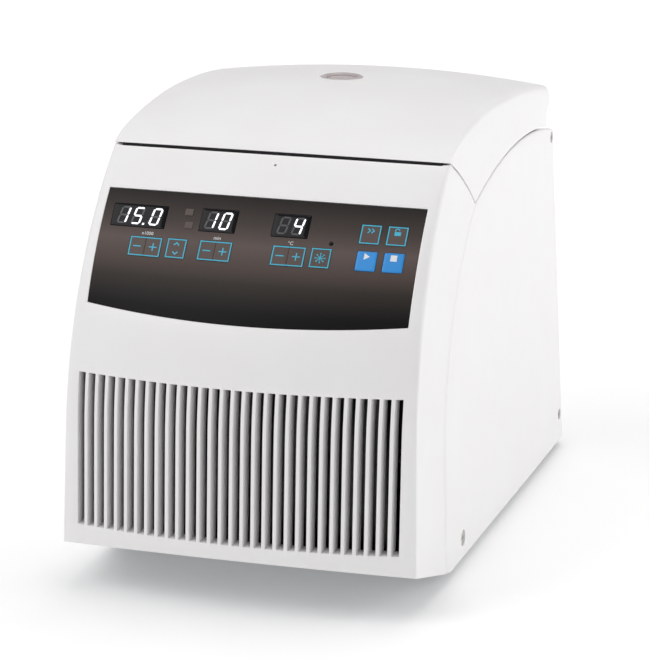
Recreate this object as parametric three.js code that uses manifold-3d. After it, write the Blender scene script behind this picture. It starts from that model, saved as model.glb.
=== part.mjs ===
// Refrigerated micro-centrifuge, millimetres, +X right, +Y to the back, +Z up.
// The origin is on the bench, under the middle of the housing.
import * as THREE from 'three';
import { mergeVertices } from 'three/addons/utils/BufferGeometryUtils.js';
import Module from 'manifold-3d';

const wasm = await Module();
wasm.setup();

// Driving dimensions of the whole machine
const width = 267;
const depth = 464;
const lipHeight = 309.3;
const lidRise = 30.2;
const chamberRadius = 94;
const wall = 3;
const seat = 0.3;
const overrun = 20;
const reach = 600;
const weld = 1e-4;
const probe = 1e-3;
const degree = Math.PI / 180;

const feet = {
  height: 6.5, radius: 11, sideInset: 30, frontInset: 125, rearInset: 34, holeRadius: 3, holeDepth: 3.5,
};

// The housing in plan and in side view
const housing = {
  bow: 15, bowLowDrop: 144.3, bowHighDrop: 19.3,
  lean: 3.07 * degree, bendDrop: 184.3, faceRadius: 253,
  draftShare: 0.0214, sideBulge: 3.5, crease: 2.5, rearCorner: 6,
  rearLean: 7.3 * degree, chinZ: 34, chinBack: 91,
  seamBack: 82, seamBendZ: 90, seamGap: 0.6,
  vBack: 174, vTipDrop: 44, vRadius: 268, archAhead: 102.2, archDrop: 23.3, lipBack: 3.66,
};
const halfWidth = width / 2;
const lidTopHeight = lipHeight + lidRise;
const baseZ = feet.height;
const frontY = -depth / 2 + housing.bow;
const rearY = depth / 2;
const bendZ = lipHeight - housing.bendDrop;
const bowLowZ = lipHeight - housing.bowLowDrop;
const bowHighZ = lipHeight - housing.bowHighDrop;
const bendY = frontY + (bendZ - housing.chinZ) * Math.tan(housing.lean);
const faceCentreY = bendY + housing.faceRadius * Math.cos(housing.lean);
const faceCentreZ = bendZ - housing.faceRadius * Math.sin(housing.lean);
const seamY = frontY + housing.seamBack;
const vTip = [frontY + housing.vBack, lipHeight - housing.vTipDrop];
const lipPoint = [faceEdgeY(lipHeight) + housing.lipBack, lipHeight];
const lipRearY = rearYAt(lipHeight);
const archY = lipRearY - housing.archAhead;
const archPeakZ = lipHeight - housing.archDrop;

// The front grille: slots between moulded slats
const grille = {
  slots: 30, pitch: 8.16, slotWidth: 5.55, lowZ: 49.5, highDrop: 147.3, slatDepth: 7.5, frame: 4,
};
const grilleHighZ = lipHeight - grille.highDrop;

// The control panel let into the upper face, and what lies in it
const panel = {
  sideMargin: 14, lowDrop: 99.3, highDrop: 25.8, smile: 5.3, corner: 3, skin: 0.1, thickness: 1.5,
  ledge: 5, clearance: 0.3, boardBack: 10.5, boardThickness: 1.6, boardOverlap: 1.5, boardHalfHeight: 35,
  bossRadius: 2.6, bossInset: 4, bossShare: 0.84,
};
const panelHalf = halfWidth - panel.sideMargin;
const panelLowZ = lipHeight - panel.lowDrop;
const panelHighZ = lipHeight - panel.highDrop;
const boardHalf = panelHalf + panel.boardOverlap;
const key = {
  height: 15.4, cap: 3, proud: 0.15, clearance: 0.25, corner: 1.2, stem: 4, switchGap: 1.2, pairGap: 0.49,
};
const squareKey = 14.6;
const halfKey = 11.7;
// Each single key and each pair: name, and shares of the panel's half width and height
const pairShares = [['speed', -0.689, 0.528], ['time', -0.244, 0.537], ['temp', 0.215, 0.541]];
const keyShares = [
  ['speed_mode_key', -0.490, 0.533, squareKey], ['quick_cool_key', 0.414, 0.544, squareKey],
  ['pulse_key', 0.689, 0.765, squareKey], ['open_key', 0.853, 0.765, squareKey],
  ['start_key', 0.694, 0.544, squareKey], ['stop_key', 0.858, 0.544, squareKey],
];
const display = {
  height: 18.4, wide: 41.3, narrow: 27, corner: 0.8, depth: 5, clearance: 0.3, rim: 2,
  proud: 0.05, overlap: 2,
};
const displayShares = [
  ['speed_display', -0.768, 0.782, display.wide], ['time_display', -0.261, 0.789, display.narrow],
  ['temp_display', 0.195, 0.790, display.narrow],
];
const panelPlaces = (shares) => shares.map(([name, across, up, faceWidth]) => [
  name, across * panelHalf, panelLowZ + up * (panelHighZ - panelLowZ), faceWidth,
]);
const pairStep = (halfKey + key.pairGap) / 2;
const keys = [
  ...panelPlaces(pairShares).flatMap(([name, x, z]) => [
    [`${name}_minus_key`, x - pairStep, z, halfKey], [`${name}_plus_key`, x + pairStep, z, halfKey],
  ]),
  ...panelPlaces(keyShares),
];
const displays = panelPlaces(displayShares);

// The lid: a domed shell with side skirts that run down to a point
const lid = {
  gap: 2, crown: 8, edgeRound: 6, lipSlope: 33 * degree, lipRadius: 80, lipEndSlope: 12 * degree,
  topAhead: 35, rearDrop: 18.5, stations: 4, linerThickness: 2.5, linerGap: 1.1,
  bossRadius: 4.5, bossInset: 26,
};
// Along the lid: how far each line lies before the rear edge of the lip's level, and behind the lip
const lidAhead = {
  rearTop: 13.2, shoulder: 6.2, rearFace: 1.2, rearFoot: 20.2, linerRear: 28.2, bossRear: 43.2,
  axis: 153.2, hinge: 7.2,
};
const lidBehind = { linerFront: 21.5, linerRise: 9.5, linerLip: 2.5, bossFront: 63.5 };
// Down the lid: how far each line lies below the lip
const lidDrop = { shoulder: 0.8, rearFace: 14.3, rearFoot: 26.3, liner: 32.3, linerRise: 3.3, hinge: 23.3 };
const axisY = lipRearY - lidAhead.axis;
const lidTopY = axisY - lid.topAhead;
const rearTopY = lipRearY - lidAhead.rearTop;
const rearFootY = lipRearY - lidAhead.rearFoot;
const rearFootZ = lipHeight - lidDrop.rearFoot;
const rearFaceZ = lipHeight - lidDrop.rearFace;
const linerZ = lipHeight - lidDrop.liner;
const linerRearY = lipRearY - lidAhead.linerRear;

const viewport = { ringRadius: 16.4, paneRadius: 11.5, proud: 0.3, ringDepth: 4, paneDepth: 2.4, step: 1.2 };

// The deck under the lid, with the lock slot
const deck = {
  drop: 37.8, thickness: 3, riseBack: 15.5, rimBack: 3.5, rimDrop: 6.3, under: 1.8,
  slotX: 11, slotY: 8, slotBack: 25.5,
};
const deckTop = lipHeight - deck.drop;
const slotY = lipPoint[0] + deck.slotBack;
const striker = {
  thickness: 3, length: 9, reachDown: 25.5, eyeDown: 17.5, holeRadius: 3.4, footX: 16, footThickness: 2,
};
const eyeZ = deckTop - striker.eyeDown;
const lock = { halfX: 24, halfY: 10, height: 40, wall: 3, boltRadius: 2.8, boltLength: 20 };

// Hinge at the back of the lid
const hinge = {
  x: 79.5, rodRadius: 3, clearance: 0.3, headRadius: 6.6, earThickness: 4, armThickness: 3,
  armLength: 86, armHeight: 9, footWidth: 18, footThickness: 2.5, footLength: 14, rodOverhang: 4, notch: 2.5,
  sideGap: 0.5,
};
const hingeY = lipRearY - lidAhead.hinge;
const hingeZ = lipHeight - lidDrop.hinge;

// Chamber, cooling coil and insulation, all round the rotor axis
const bowl = { wall: 1.2, depth: 73.5, flangeWidth: 6, cornerRise: 8, neckRadius: 16, neckRise: 8 };
const bowlFloorZ = deckTop - bowl.depth;
const sealRing = { inner: 2, width: 4 };
const coil = {
  tubeRadius: 4, turns: 4, topDown: 10.5, lift: 9, stepsPerTurn: 24, sides: 6, clearance: 1.3,
  endAngle: 225 * degree, bend: 10, tailLength: 17,
};
const insulation = { clearance: 2, wall: 8, floorThickness: 13.5, boreRadius: 18, pipeHole: 5 };

// Rotor with its slanted tube bores
const rotor = {
  clearance: 6.5, lift: 10, skirt: 6, flank: 22, slope: 16, slopeRun: 23.5, hubRadius: 30,
  bores: 24, boreRadius: 5.6, boreInset: 12, boreLength: 40, boreAngle: 45 * degree, boreDrop: 2,
  recessRadius: 12, recessDepth: 7,
};
const rotorRadius = chamberRadius - rotor.clearance;
const rotorTopRadius = rotorRadius - rotor.slopeRun;
const rotorLowZ = bowlFloorZ + rotor.lift;
const skirtZ = rotorLowZ + rotor.skirt;
const rotorTopZ = skirtZ + rotor.flank + rotor.slope;
const rotorLid = { rim: 2, thickness: 2, domeRise: 3, domeRadius: 24, hole: 12 };
const knob = { radius: 17, height: 12, stemClearance: 0.3, grips: 10, gripDepth: 1.2, bore: 4.6 };
// The shaft: how far its collar lies below the rotor, and how far its cone and thread rise into it
const shaft = {
  radius: 6, footRise: 9, collarDown: 2, coneRadius: 9, collar: 1.5, coneStart: 3, coneEnd: 30,
  threadRadius: 4.2, topDown: 3,
};
const coneLowZ = rotorLowZ + shaft.coneStart;
const coneHighZ = rotorLowZ + shaft.coneEnd;
const shaftTopZ = rotorTopZ - shaft.topDown;

// Drive motor on three rubber mounts
const motor = {
  radius: 50, flangeRadius: 62, flangeThickness: 5, flangeZ: 36, canHeight: 109, capRise: 8, capRadius: 38,
  neckRadius: 14.5, neckDown: 5, boreClearance: 0.4, fins: 10, finDepth: 3, finWidth: 6,
};
const mount = { count: 3, radius: 8, waist: 6, circle: 54, firstAngle: 90 * degree };

// Sheet-metal tray
const tray = { thickness: 1.5, hem: 14 };

// Cooling unit behind the grille
const condenser = {
  sideRoom: 27.5, faceBack: 17, depth: 25, lowZ: 40, highZ: 160, core: 8, fins: 21, finThickness: 1.4,
  endThickness: 2, stubRadius: 4.5, stubHeight: 6, stubX: -60,
};
const condenserHalf = halfWidth - condenser.sideRoom;
const condenserFrontY = frontY + condenser.faceBack;
const condenserBackY = condenserFrontY + condenser.depth;
const fan = {
  x: 38, z: 98, size: 112, depth: 25, bore: 53, hub: 19, blades: 7, bladeReach: 51, bladeThickness: 1.6,
  bladeTwist: 38 * degree, strut: 5, plateThickness: 2.5,
};
const compressor = {
  x: -58, faceBack: 133, radius: 47, height: 146, plateX: 52, plateY: 41, plateThickness: 3, domeShare: 0.35,
  bandRise: 2, bandHeight: 8, stubRadius: 4.5, stubHeight: 8, dischargeX: 20, suctionX: -22,
};
const compressorY = frontY + compressor.faceBack;
const pipe = { radius: 3, sides: 8, steps: 12 };

// Rear panel with the mains inlet
const rear = {
  thickness: 1.5, returnWidth: 14, ventColumns: 10, ventRows: 2, ventWidth: 4, ventHeight: 34, ventPitch: 9,
  ventRowPitch: 44, ventLowZ: 130,
};
const inlet = {
  x: -78, z: 60, flangeHalfX: 26, flangeHalfZ: 33, flange: 2, bodyHalfX: 21, bodyHalfZ: 29, bodyDepth: 26,
  cutClearance: 0.4, socketHalfX: 12.2, socketHalfZ: 8, socketZ: -14, socketDepth: 17, pin: 1, pinLength: 12,
  pinSpread: 7, pinRise: 2, rockerZ: 16, rockerHalfX: 8, rockerHalfZ: 11, rockerDepth: 10,
};
const rocker = { clearance: 0.5, tilt: 8 * degree, proud: 1.6, dish: 1.4, pivotDepth: 3, depth: 7 };
const board = {
  lowX: -62, highX: 96, length: 87, rearInset: 27, z: 17, thickness: 1.6, standoff: 3, inset: 8,
  partHeight: 36,
};
const boardBackY = rearY - board.rearInset;
const boardFrontY = boardBackY - board.length;
// The power board's parts: centre, width and depth as shares of the board, height of the tallest
const partShares = [
  [0.20, 0.30, 0.19, 0.30, 0.83], [0.50, 0.65, 0.25, 0.34, 0.61],
  [0.80, 0.30, 0.11, 0.39, 1.00], [0.84, 0.76, 0.14, 0.16, 0.67],
];

// Recesses for the screws in the side covers: shares of the depth and of the lip height, and radius
const screwRecess = { depth: 2, radius: 6.2, rearRadius: 4.7 };
const screwShares = [
  [-0.195, 0.072, screwRecess.radius], [0.461, 0.095, screwRecess.rearRadius],
  [0.409, 0.847, screwRecess.rearRadius],
];
const releaseHole = { radius: 1.1, drop: 5.8 };

const finish = {
  white: { color: 0xf1f0ee, roughness: 0.45, metalness: 0 },
  panelBlack: { color: 0x2b2827, roughness: 0.3, metalness: 0 },
  displayBlack: { color: 0x131316, roughness: 0.2, metalness: 0 },
  keyBlack: { color: 0x35312f, roughness: 0.35, metalness: 0 },
  keyBlue: { color: 0x1c7fcc, roughness: 0.35, metalness: 0 },
  boardGreen: { color: 0x1f5a3a, roughness: 0.6, metalness: 0 },
  clear: { color: 0xe9dcdc, roughness: 0.1, metalness: 0 },
  steel: { color: 0xc4c6c8, roughness: 0.3, metalness: 1 },
  zinc: { color: 0xb4b7b9, roughness: 0.45, metalness: 1 },
  aluminium: { color: 0x9fa3a6, roughness: 0.4, metalness: 1 },
  darkAluminium: { color: 0x3f4245, roughness: 0.45, metalness: 0.9 },
  copper: { color: 0xb87447, roughness: 0.35, metalness: 1 },
  rubber: { color: 0x26272a, roughness: 0.85, metalness: 0 },
  foam: { color: 0xd8cfae, roughness: 0.95, metalness: 0 },
  blackPaint: { color: 0x1c1d1f, roughness: 0.5, metalness: 0.2 },
  blackPlastic: { color: 0x222326, roughness: 0.55, metalness: 0 },
};

const machine = new THREE.Group();

// Turns a closed geometry into a solid that can be joined and cut
function solidOf(geometry) {
  const bare = geometry.index ? geometry.toNonIndexed() : geometry.clone();
  bare.deleteAttribute('normal');
  bare.deleteAttribute('uv');
  const merged = mergeVertices(bare, weld);
  const corner = (index) => new THREE.Vector3().fromBufferAttribute(merged.attributes.position, index);
  const faces = [];
  let volume = 0;
  for (let i = 0; i < merged.index.count; i += 3) {
    const [a, b, c] = [0, 1, 2].map((step) => merged.index.getX(i + step));
    if (a === b || b === c || c === a) continue;
    faces.push([a, b, c]);
    volume += corner(a).dot(corner(b).cross(corner(c)));
  }
  const outward = volume > 0 ? faces : faces.map(([a, b, c]) => [a, c, b]);
  return new wasm.Manifold(new wasm.Mesh({
    numProp: 3,
    vertProperties: new Float32Array(merged.attributes.position.array),
    triVerts: new Uint32Array(outward.flat()),
  }));
}

function add(name, solid, look) {
  const mesh = solid.getMesh();
  const geometry = new THREE.BufferGeometry();
  geometry.setAttribute('position', new THREE.BufferAttribute(new Float32Array(mesh.vertProperties), 3));
  geometry.setIndex(new THREE.BufferAttribute(new Uint32Array(mesh.triVerts), 1));
  geometry.computeVertexNormals();
  const node = new THREE.Mesh(geometry, new THREE.MeshStandardMaterial(look));
  node.name = name;
  machine.add(node);
}

function union(solids) {
  return solids.reduce((whole, next) => whole.add(next));
}

function moved(geometry, matrix) {
  return solidOf(geometry.applyMatrix4(matrix));
}

// A box between two corners
function block(lowX, highX, lowY, highY, lowZ, highZ) {
  const shape = new THREE.BoxGeometry(highX - lowX, highY - lowY, highZ - lowZ);
  const centre = new THREE.Matrix4().makeTranslation(
    (lowX + highX) / 2, (lowY + highY) / 2, (lowZ + highZ) / 2);
  return moved(shape, centre);
}

function shapeOf(points) {
  return new THREE.Shape(points.map(([u, v]) => new THREE.Vector2(u, v)));
}

// An outline in (Y, Z) pushed along X
function alongX(points, lowX, highX) {
  const shape = new THREE.ExtrudeGeometry(shapeOf(points), { depth: highX - lowX, bevelEnabled: false });
  const turn = new THREE.Matrix4().set(0, 0, 1, lowX, 1, 0, 0, 0, 0, 1, 0, 0, 0, 0, 0, 1);
  return moved(shape, turn);
}

// An outline in (X, Z) pushed along Y
function alongY(points, lowY, highY) {
  const shape = new THREE.ExtrudeGeometry(shapeOf(points), { depth: highY - lowY, bevelEnabled: false });
  const turn = new THREE.Matrix4().set(1, 0, 0, 0, 0, 0, -1, highY, 0, 1, 0, 0, 0, 0, 0, 1);
  return moved(shape, turn);
}

// An outline in (X, Y) pushed along Z
function alongZ(points, lowZ, highZ) {
  const shape = new THREE.ExtrudeGeometry(shapeOf(points), { depth: highZ - lowZ, bevelEnabled: false });
  return moved(shape, new THREE.Matrix4().makeTranslation(0, 0, lowZ));
}

// A profile in (radius, Z) turned round an upright axis
function turned(profile, x, y, segments) {
  const points = profile.map(([r, z]) => new THREE.Vector2(r, z));
  const shape = new THREE.LatheGeometry([...points, points[0]], segments);
  const stand = new THREE.Matrix4().makeRotationX(Math.PI / 2);
  return moved(shape, new THREE.Matrix4().makeTranslation(x, y, 0).multiply(stand));
}

// An upright rod
function post(x, y, radius, lowZ, highZ, segments) {
  return turned([[0, lowZ], [radius, lowZ], [radius, highZ], [0, highZ]], x, y, segments);
}

// A rod between two points
function rod(from, to, radius, segments) {
  const way = new THREE.Vector3().subVectors(to, from);
  const shape = new THREE.CylinderGeometry(radius, radius, way.length(), segments);
  const turn = new THREE.Quaternion().setFromUnitVectors(new THREE.Vector3(0, 1, 0), way.clone().normalize());
  const middle = new THREE.Vector3().addVectors(from, to).multiplyScalar(0.5);
  return moved(shape, new THREE.Matrix4().compose(middle, turn, new THREE.Vector3(1, 1, 1)));
}

// Skins a stack of rings that all have as many points, and closes both ends
function loft(rings) {
  const count = rings[0].length;
  const points = rings.flat();
  const faces = [];
  for (let ring = 0; ring < rings.length - 1; ring += 1) {
    for (let i = 0; i < count; i += 1) {
      const a = ring * count + i;
      const b = ring * count + (i + 1) % count;
      faces.push(a, b, b + count, a, b + count, a + count);
    }
  }
  const endFaces = (first, flip) => {
    const centre = points.length;
    const ring = points.slice(first, first + count);
    const sum = ring.reduce((total, p) => total.add(p), new THREE.Vector3());
    points.push(sum.multiplyScalar(1 / count));
    for (let i = 0; i < count; i += 1) {
      const a = first + i;
      const b = first + (i + 1) % count;
      faces.push(centre, flip ? b : a, flip ? a : b);
    }
  };
  endFaces(0, true);
  endFaces((rings.length - 1) * count, false);
  const geometry = new THREE.BufferGeometry();
  const places = points.flatMap((p) => [p.x, p.y, p.z]);
  geometry.setAttribute('position', new THREE.Float32BufferAttribute(places, 3));
  geometry.setIndex(faces);
  return solidOf(geometry);
}

// A rectangle with cut corners, centred on zero
function plate(halfU, halfV, corner) {
  return [
    [-halfU + corner, -halfV], [halfU - corner, -halfV], [halfU, -halfV + corner], [halfU, halfV - corner],
    [halfU - corner, halfV], [-halfU + corner, halfV], [-halfU, halfV - corner], [-halfU, -halfV + corner],
  ];
}

// A plate in a turned frame, from one depth to another along the frame's third axis
function plateIn(frame, outline, low, high) {
  const shape = new THREE.ExtrudeGeometry(shapeOf(outline), { depth: high - low, bevelEnabled: false });
  return moved(shape, frame.clone().multiply(new THREE.Matrix4().makeTranslation(0, 0, low)));
}

// Points of an arc from one place to another, bulging to the left of the way, ends included
function arc(from, to, radius, steps) {
  const chordU = to[0] - from[0];
  const chordV = to[1] - from[1];
  const chord = Math.hypot(chordU, chordV);
  const rise = Math.sqrt(radius * radius - chord * chord / 4);
  const centre = [
    (from[0] + to[0]) / 2 + rise * chordV / chord,
    (from[1] + to[1]) / 2 - rise * chordU / chord,
  ];
  const start = Math.atan2(from[1] - centre[1], from[0] - centre[0]);
  const sweep = 2 * Math.asin(chord / 2 / radius);
  return Array.from({ length: steps + 1 }, (_, i) => {
    const angle = start - sweep * i / steps;
    return [centre[0] + radius * Math.cos(angle), centre[1] + radius * Math.sin(angle)];
  });
}

// The face seen from the side, its half width and its bow in plan, at a height
function faceEdgeY(z) {
  if (z <= bendZ) return bendY - (bendZ - z) * Math.tan(housing.lean);
  return faceCentreY - Math.sqrt(housing.faceRadius ** 2 - (z - faceCentreZ) ** 2);
}
function halfWidthAt(z) {
  return halfWidth - (z - housing.chinZ) * housing.draftShare;
}
function bowAt(z) {
  const share = Math.min(Math.max((z - bowLowZ) / (bowHighZ - bowLowZ), 0), 1);
  return housing.bow * (1 - share * share * (3 - 2 * share));
}
function faceY(x, z) {
  return faceEdgeY(z) - bowAt(z) * (1 - (x / halfWidthAt(z)) ** 2);
}
function rearYAt(z) {
  return rearY - (z - baseZ) * Math.tan(housing.rearLean);
}

// The frame of a small piece on the face: right, up and out along the surface
function faceFrame(x, z) {
  const place = (px, pz) => new THREE.Vector3(px, faceY(px, pz), pz);
  const here = place(x, z);
  const right = place(x + probe, z).sub(here).normalize();
  const up = place(x, z + probe).sub(here);
  const out = new THREE.Vector3().crossVectors(right, up).normalize();
  up.crossVectors(out, right);
  return new THREE.Matrix4().makeBasis(right, up, out).setPosition(here);
}

// The frame of a piece on the leaning back
function rearFrame(x, z) {
  const right = new THREE.Vector3(-1, 0, 0);
  const out = new THREE.Vector3(0, Math.cos(housing.rearLean), Math.sin(housing.rearLean));
  const up = new THREE.Vector3().crossVectors(out, right);
  return new THREE.Matrix4().makeBasis(right, up, out).setPosition(x, rearYAt(z), z);
}

// The closed outer body, or the same body with its skin moved inwards
const faceSteps = 8;
const sideSteps = 4;
const arcLevels = 8;
function body(inset, endRun = 0) {
  const high = Math.asin((lidTopHeight - faceCentreZ) / housing.faceRadius);
  const levels = [[baseZ - endRun, housing.lean], [grille.lowZ, housing.lean]];
  for (let i = 0; i <= arcLevels; i += 1) {
    const angle = housing.lean + (high - housing.lean) * i / arcLevels;
    levels.push([faceCentreZ + housing.faceRadius * Math.sin(angle), angle]);
  }
  const rings = levels.map(([z, angle]) => {
    const edgeY = faceEdgeY(z) + inset * Math.cos(angle);
    const levelZ = z - inset * Math.sin(angle);
    const half = halfWidthAt(z) - inset;
    const backY = rearYAt(levelZ) - inset / Math.cos(housing.rearLean);
    const ring = [];
    for (let i = 0; i <= faceSteps; i += 1) {
      const share = -1 + 2 * i / faceSteps;
      const x = share * (half - housing.crease);
      ring.push(new THREE.Vector3(x, edgeY - bowAt(z) * (1 - share * share), levelZ));
    }
    const sideRun = backY - housing.rearCorner - edgeY - housing.crease;
    for (let i = 0; i <= sideSteps; i += 1) {
      const share = i / sideSteps;
      const bulge = housing.sideBulge * 4 * share * (1 - share);
      ring.push(new THREE.Vector3(half + bulge, edgeY + housing.crease + sideRun * share, levelZ));
    }
    ring.push(new THREE.Vector3(half - housing.rearCorner, backY, levelZ));
    ring.push(new THREE.Vector3(-half + housing.rearCorner, backY, levelZ));
    for (let i = sideSteps; i >= 0; i -= 1) {
      const share = i / sideSteps;
      const bulge = housing.sideBulge * 4 * share * (1 - share);
      ring.push(new THREE.Vector3(-half - bulge, edgeY + housing.crease + sideRun * share, levelZ));
    }
    return ring;
  });
  return loft(rings);
}

// The line along which the lid leaves the housing, in side view
function partingLine(rise) {
  const run = archY - vTip[0];
  const climb = archPeakZ - vTip[1];
  const archRadius = (run * run + climb * climb) / (2 * climb);
  const farY = rearY + overrun;
  const farZ = archPeakZ - (farY - archY) ** 2 / (2 * archRadius);
  const front = arc(lipPoint, vTip, housing.vRadius, 4);
  const arch = arc(vTip, [farY, farZ], archRadius, 9).slice(1);
  return [[-reach, lipPoint[1]], ...front, ...arch].map(([y, z]) => [y, z + rise]);
}
function belowParting(rise) {
  const line = partingLine(rise);
  const low = baseZ - overrun;
  return alongX([[-reach, low], [rearY + overrun, low], ...line.reverse()], -reach, reach);
}
function aboveParting(rise) {
  const high = lidTopHeight + overrun;
  return alongX([...partingLine(rise), [rearY + overrun, high], [-reach, high]], -reach, reach);
}

// The seam between the front bezel and the side covers, in side view
function behindSeam(shift) {
  const steps = arc([seamY, housing.seamBendZ], vTip, seamRadius(), 6);
  const line = [[seamY, baseZ - overrun], ...steps, [vTip[0], lidTopHeight + overrun]];
  const back = rearY + overrun;
  return alongX([
    ...line.map(([y, z]) => [y + shift, z]).reverse(),
    [back, baseZ - overrun], [back, lidTopHeight + overrun],
  ], -reach, reach);
}
function seamRadius() {
  const run = vTip[0] - seamY;
  const climb = vTip[1] - housing.seamBendZ;
  return (run * run + climb * climb) / (2 * run);
}

// The sloping underside of the nose
const chinBackY = frontY + housing.chinBack;
const chinSlope = (housing.chinZ - baseZ) / housing.chinBack;
function chinZAt(y) {
  return baseZ + Math.max(chinBackY - y, 0) * chinSlope;
}

const bodySkin = body(0).subtract(body(wall, overrun));
const bodyInside = body(wall + seat, overrun);

// The outline of the control panel, with a lower edge that smiles
function panelOutline(grow) {
  const half = panelHalf + grow;
  const low = panelLowZ - grow;
  const high = panelHighZ + grow;
  const radius = (half * half + panel.smile * panel.smile) / (2 * panel.smile);
  const smile = arc([half, low], [-half, low], radius, 8);
  return [...smile, [-half, high - panel.corner], [-half + panel.corner, high],
    [half - panel.corner, high], [half, high - panel.corner]];
}
function panelPrism(grow) {
  return alongY(panelOutline(grow).reverse(), -reach, frontY + reach / 2);
}

// Front bezel: a wrapped shell with deep slats, the panel opening and the bosses of the board
const panelSeat = panel.skin + panel.thickness + seat;
const grilleHalf = ((grille.slots - 1) * grille.pitch + grille.slotWidth) / 2;
const chinCut = alongX([
  [chinBackY, baseZ - overrun], [chinBackY, baseZ],
  [frontY - overrun, housing.chinZ + overrun * chinSlope], [frontY - overrun, baseZ - overrun],
], -reach, reach);

const chordLow = new THREE.Vector3(0, faceEdgeY(panelLowZ), panelLowZ);
const chordHigh = new THREE.Vector3(0, faceEdgeY(panelHighZ), panelHighZ);
const boardUp = chordHigh.clone().sub(chordLow).normalize();
const boardOut = new THREE.Vector3(1, 0, 0).cross(boardUp);
const boardCentre = chordLow.clone().add(chordHigh).multiplyScalar(0.5);
const boardFrame = new THREE.Matrix4().makeBasis(new THREE.Vector3(1, 0, 0), boardUp, boardOut)
  .setPosition(boardCentre);

function slatBlock() {
  const half = grilleHalf + grille.frame;
  const band = block(-half, half, -reach, seamY, grille.lowZ - grille.frame, grilleHighZ + grille.frame);
  return body(0).subtract(body(grille.slatDepth, overrun)).intersect(band);
}
function slots() {
  const pitch = grille.pitch;
  return union(Array.from({ length: grille.slots }, (_, i) => {
    const x = (i - (grille.slots - 1) / 2) * pitch;
    return block(x - grille.slotWidth / 2, x + grille.slotWidth / 2, -reach, seamY, grille.lowZ, grilleHighZ);
  }));
}
function boardBosses() {
  const bosses = [];
  for (const side of [-1, 1]) {
    for (const end of [-1, 1]) {
      const v = end * panel.boardHalfHeight * panel.bossShare;
      const u = side * (boardHalf - panel.bossInset);
      const low = new THREE.Vector3(u, v, seat - panel.boardBack).applyMatrix4(boardFrame);
      const high = new THREE.Vector3(u, v, panel.boardBack).applyMatrix4(boardFrame);
      bosses.push(rod(low, high, panel.bossRadius, 6));
    }
  }
  return union(bosses).intersect(body(panelSeat, overrun));
}
function makeBezel() {
  const shell = bodySkin.intersect(belowParting(0)).subtract(behindSeam(0)).subtract(chinCut);
  const recess = panelPrism(panel.clearance).subtract(body(panelSeat, overrun));
  const opening = panelPrism(-panel.ledge);
  const releaseFrame = faceFrame(0, lipHeight - releaseHole.drop);
  const out = new THREE.Vector3(0, 0, wall).applyMatrix4(releaseFrame);
  const inner = new THREE.Vector3(0, 0, -2 * wall).applyMatrix4(releaseFrame);
  return shell.add(slatBlock()).subtract(slots()).subtract(recess).subtract(opening).add(boardBosses())
    .subtract(rod(inner, out, releaseHole.radius, 6));
}
add('front_bezel', makeBezel(), finish.white);

// Control board behind the panel
function depthToBoard(frame) {
  const here = new THREE.Vector3().setFromMatrixPosition(frame);
  const out = new THREE.Vector3().setFromMatrixColumn(frame, 2);
  const onBoard = boardCentre.clone().addScaledVector(boardOut, -panel.boardBack);
  return here.sub(onBoard).dot(boardOut) / out.dot(boardOut);
}
const boardOutline = plate(boardHalf, panel.boardHalfHeight, panel.corner);
add('control_board', plateIn(boardFrame, boardOutline, -panel.boardBack - panel.boardThickness,
  -panel.boardBack), finish.boardGreen);

// Display modules: a face let into the panel, on a body that stands on the board
function makeDisplay(x, z, faceWidth) {
  const frame = faceFrame(x, z);
  const face = plateIn(frame, plate(faceWidth / 2, display.height / 2, display.corner),
    -display.depth, display.proud);
  const local = new THREE.Vector3(x, faceY(x, z), z).applyMatrix4(boardFrame.clone().invert());
  const foot = boardFrame.clone().multiply(new THREE.Matrix4().makeTranslation(local.x, local.y, 0));
  const outline = plate(faceWidth / 2 - display.rim, display.height / 2 - display.rim, display.corner);
  return face.add(plateIn(foot, outline, seat - panel.boardBack, local.z - display.depth + display.overlap));
}
for (const [name, x, z, faceWidth] of displays) add(name, makeDisplay(x, z, faceWidth), finish.displayBlack);

// Keys: each cap sinks through the panel and carries a stem over its switch
function makeKey(x, z, capWidth) {
  const frame = faceFrame(x, z);
  const cap = plateIn(frame, plate(capWidth / 2, key.height / 2, key.corner), -key.cap, key.proud);
  const half = key.stem / 2;
  const stem = [[-half, -half], [half, -half], [half, half], [-half, half]];
  return cap.add(plateIn(frame, stem, key.switchGap - depthToBoard(frame), -key.cap / 2));
}
for (const [name, x, z, capWidth] of keys) {
  const blue = name === 'start_key' || name === 'stop_key';
  add(name, makeKey(x, z, capWidth), blue ? finish.keyBlue : finish.keyBlack);
}

// Control panel: a thin curved plate with windows for the displays and keys
function makePanel() {
  const windows = [
    ...displays.map(([, x, z, faceWidth]) => [x, z, faceWidth, display.height, display.clearance]),
    ...keys.map(([, x, z, capWidth]) => [x, z, capWidth, key.height, key.clearance]),
  ].map(([x, z, across, high, clear]) => plateIn(faceFrame(x, z),
    plate(across / 2 + clear, high / 2 + clear, display.corner), -panelSeat - overrun / 4, overrun / 4));
  return body(panel.skin).subtract(body(panel.skin + panel.thickness, overrun))
    .intersect(panelPrism(0)).subtract(union(windows));
}
add('control_panel', makePanel(), finish.panelBlack);

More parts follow.
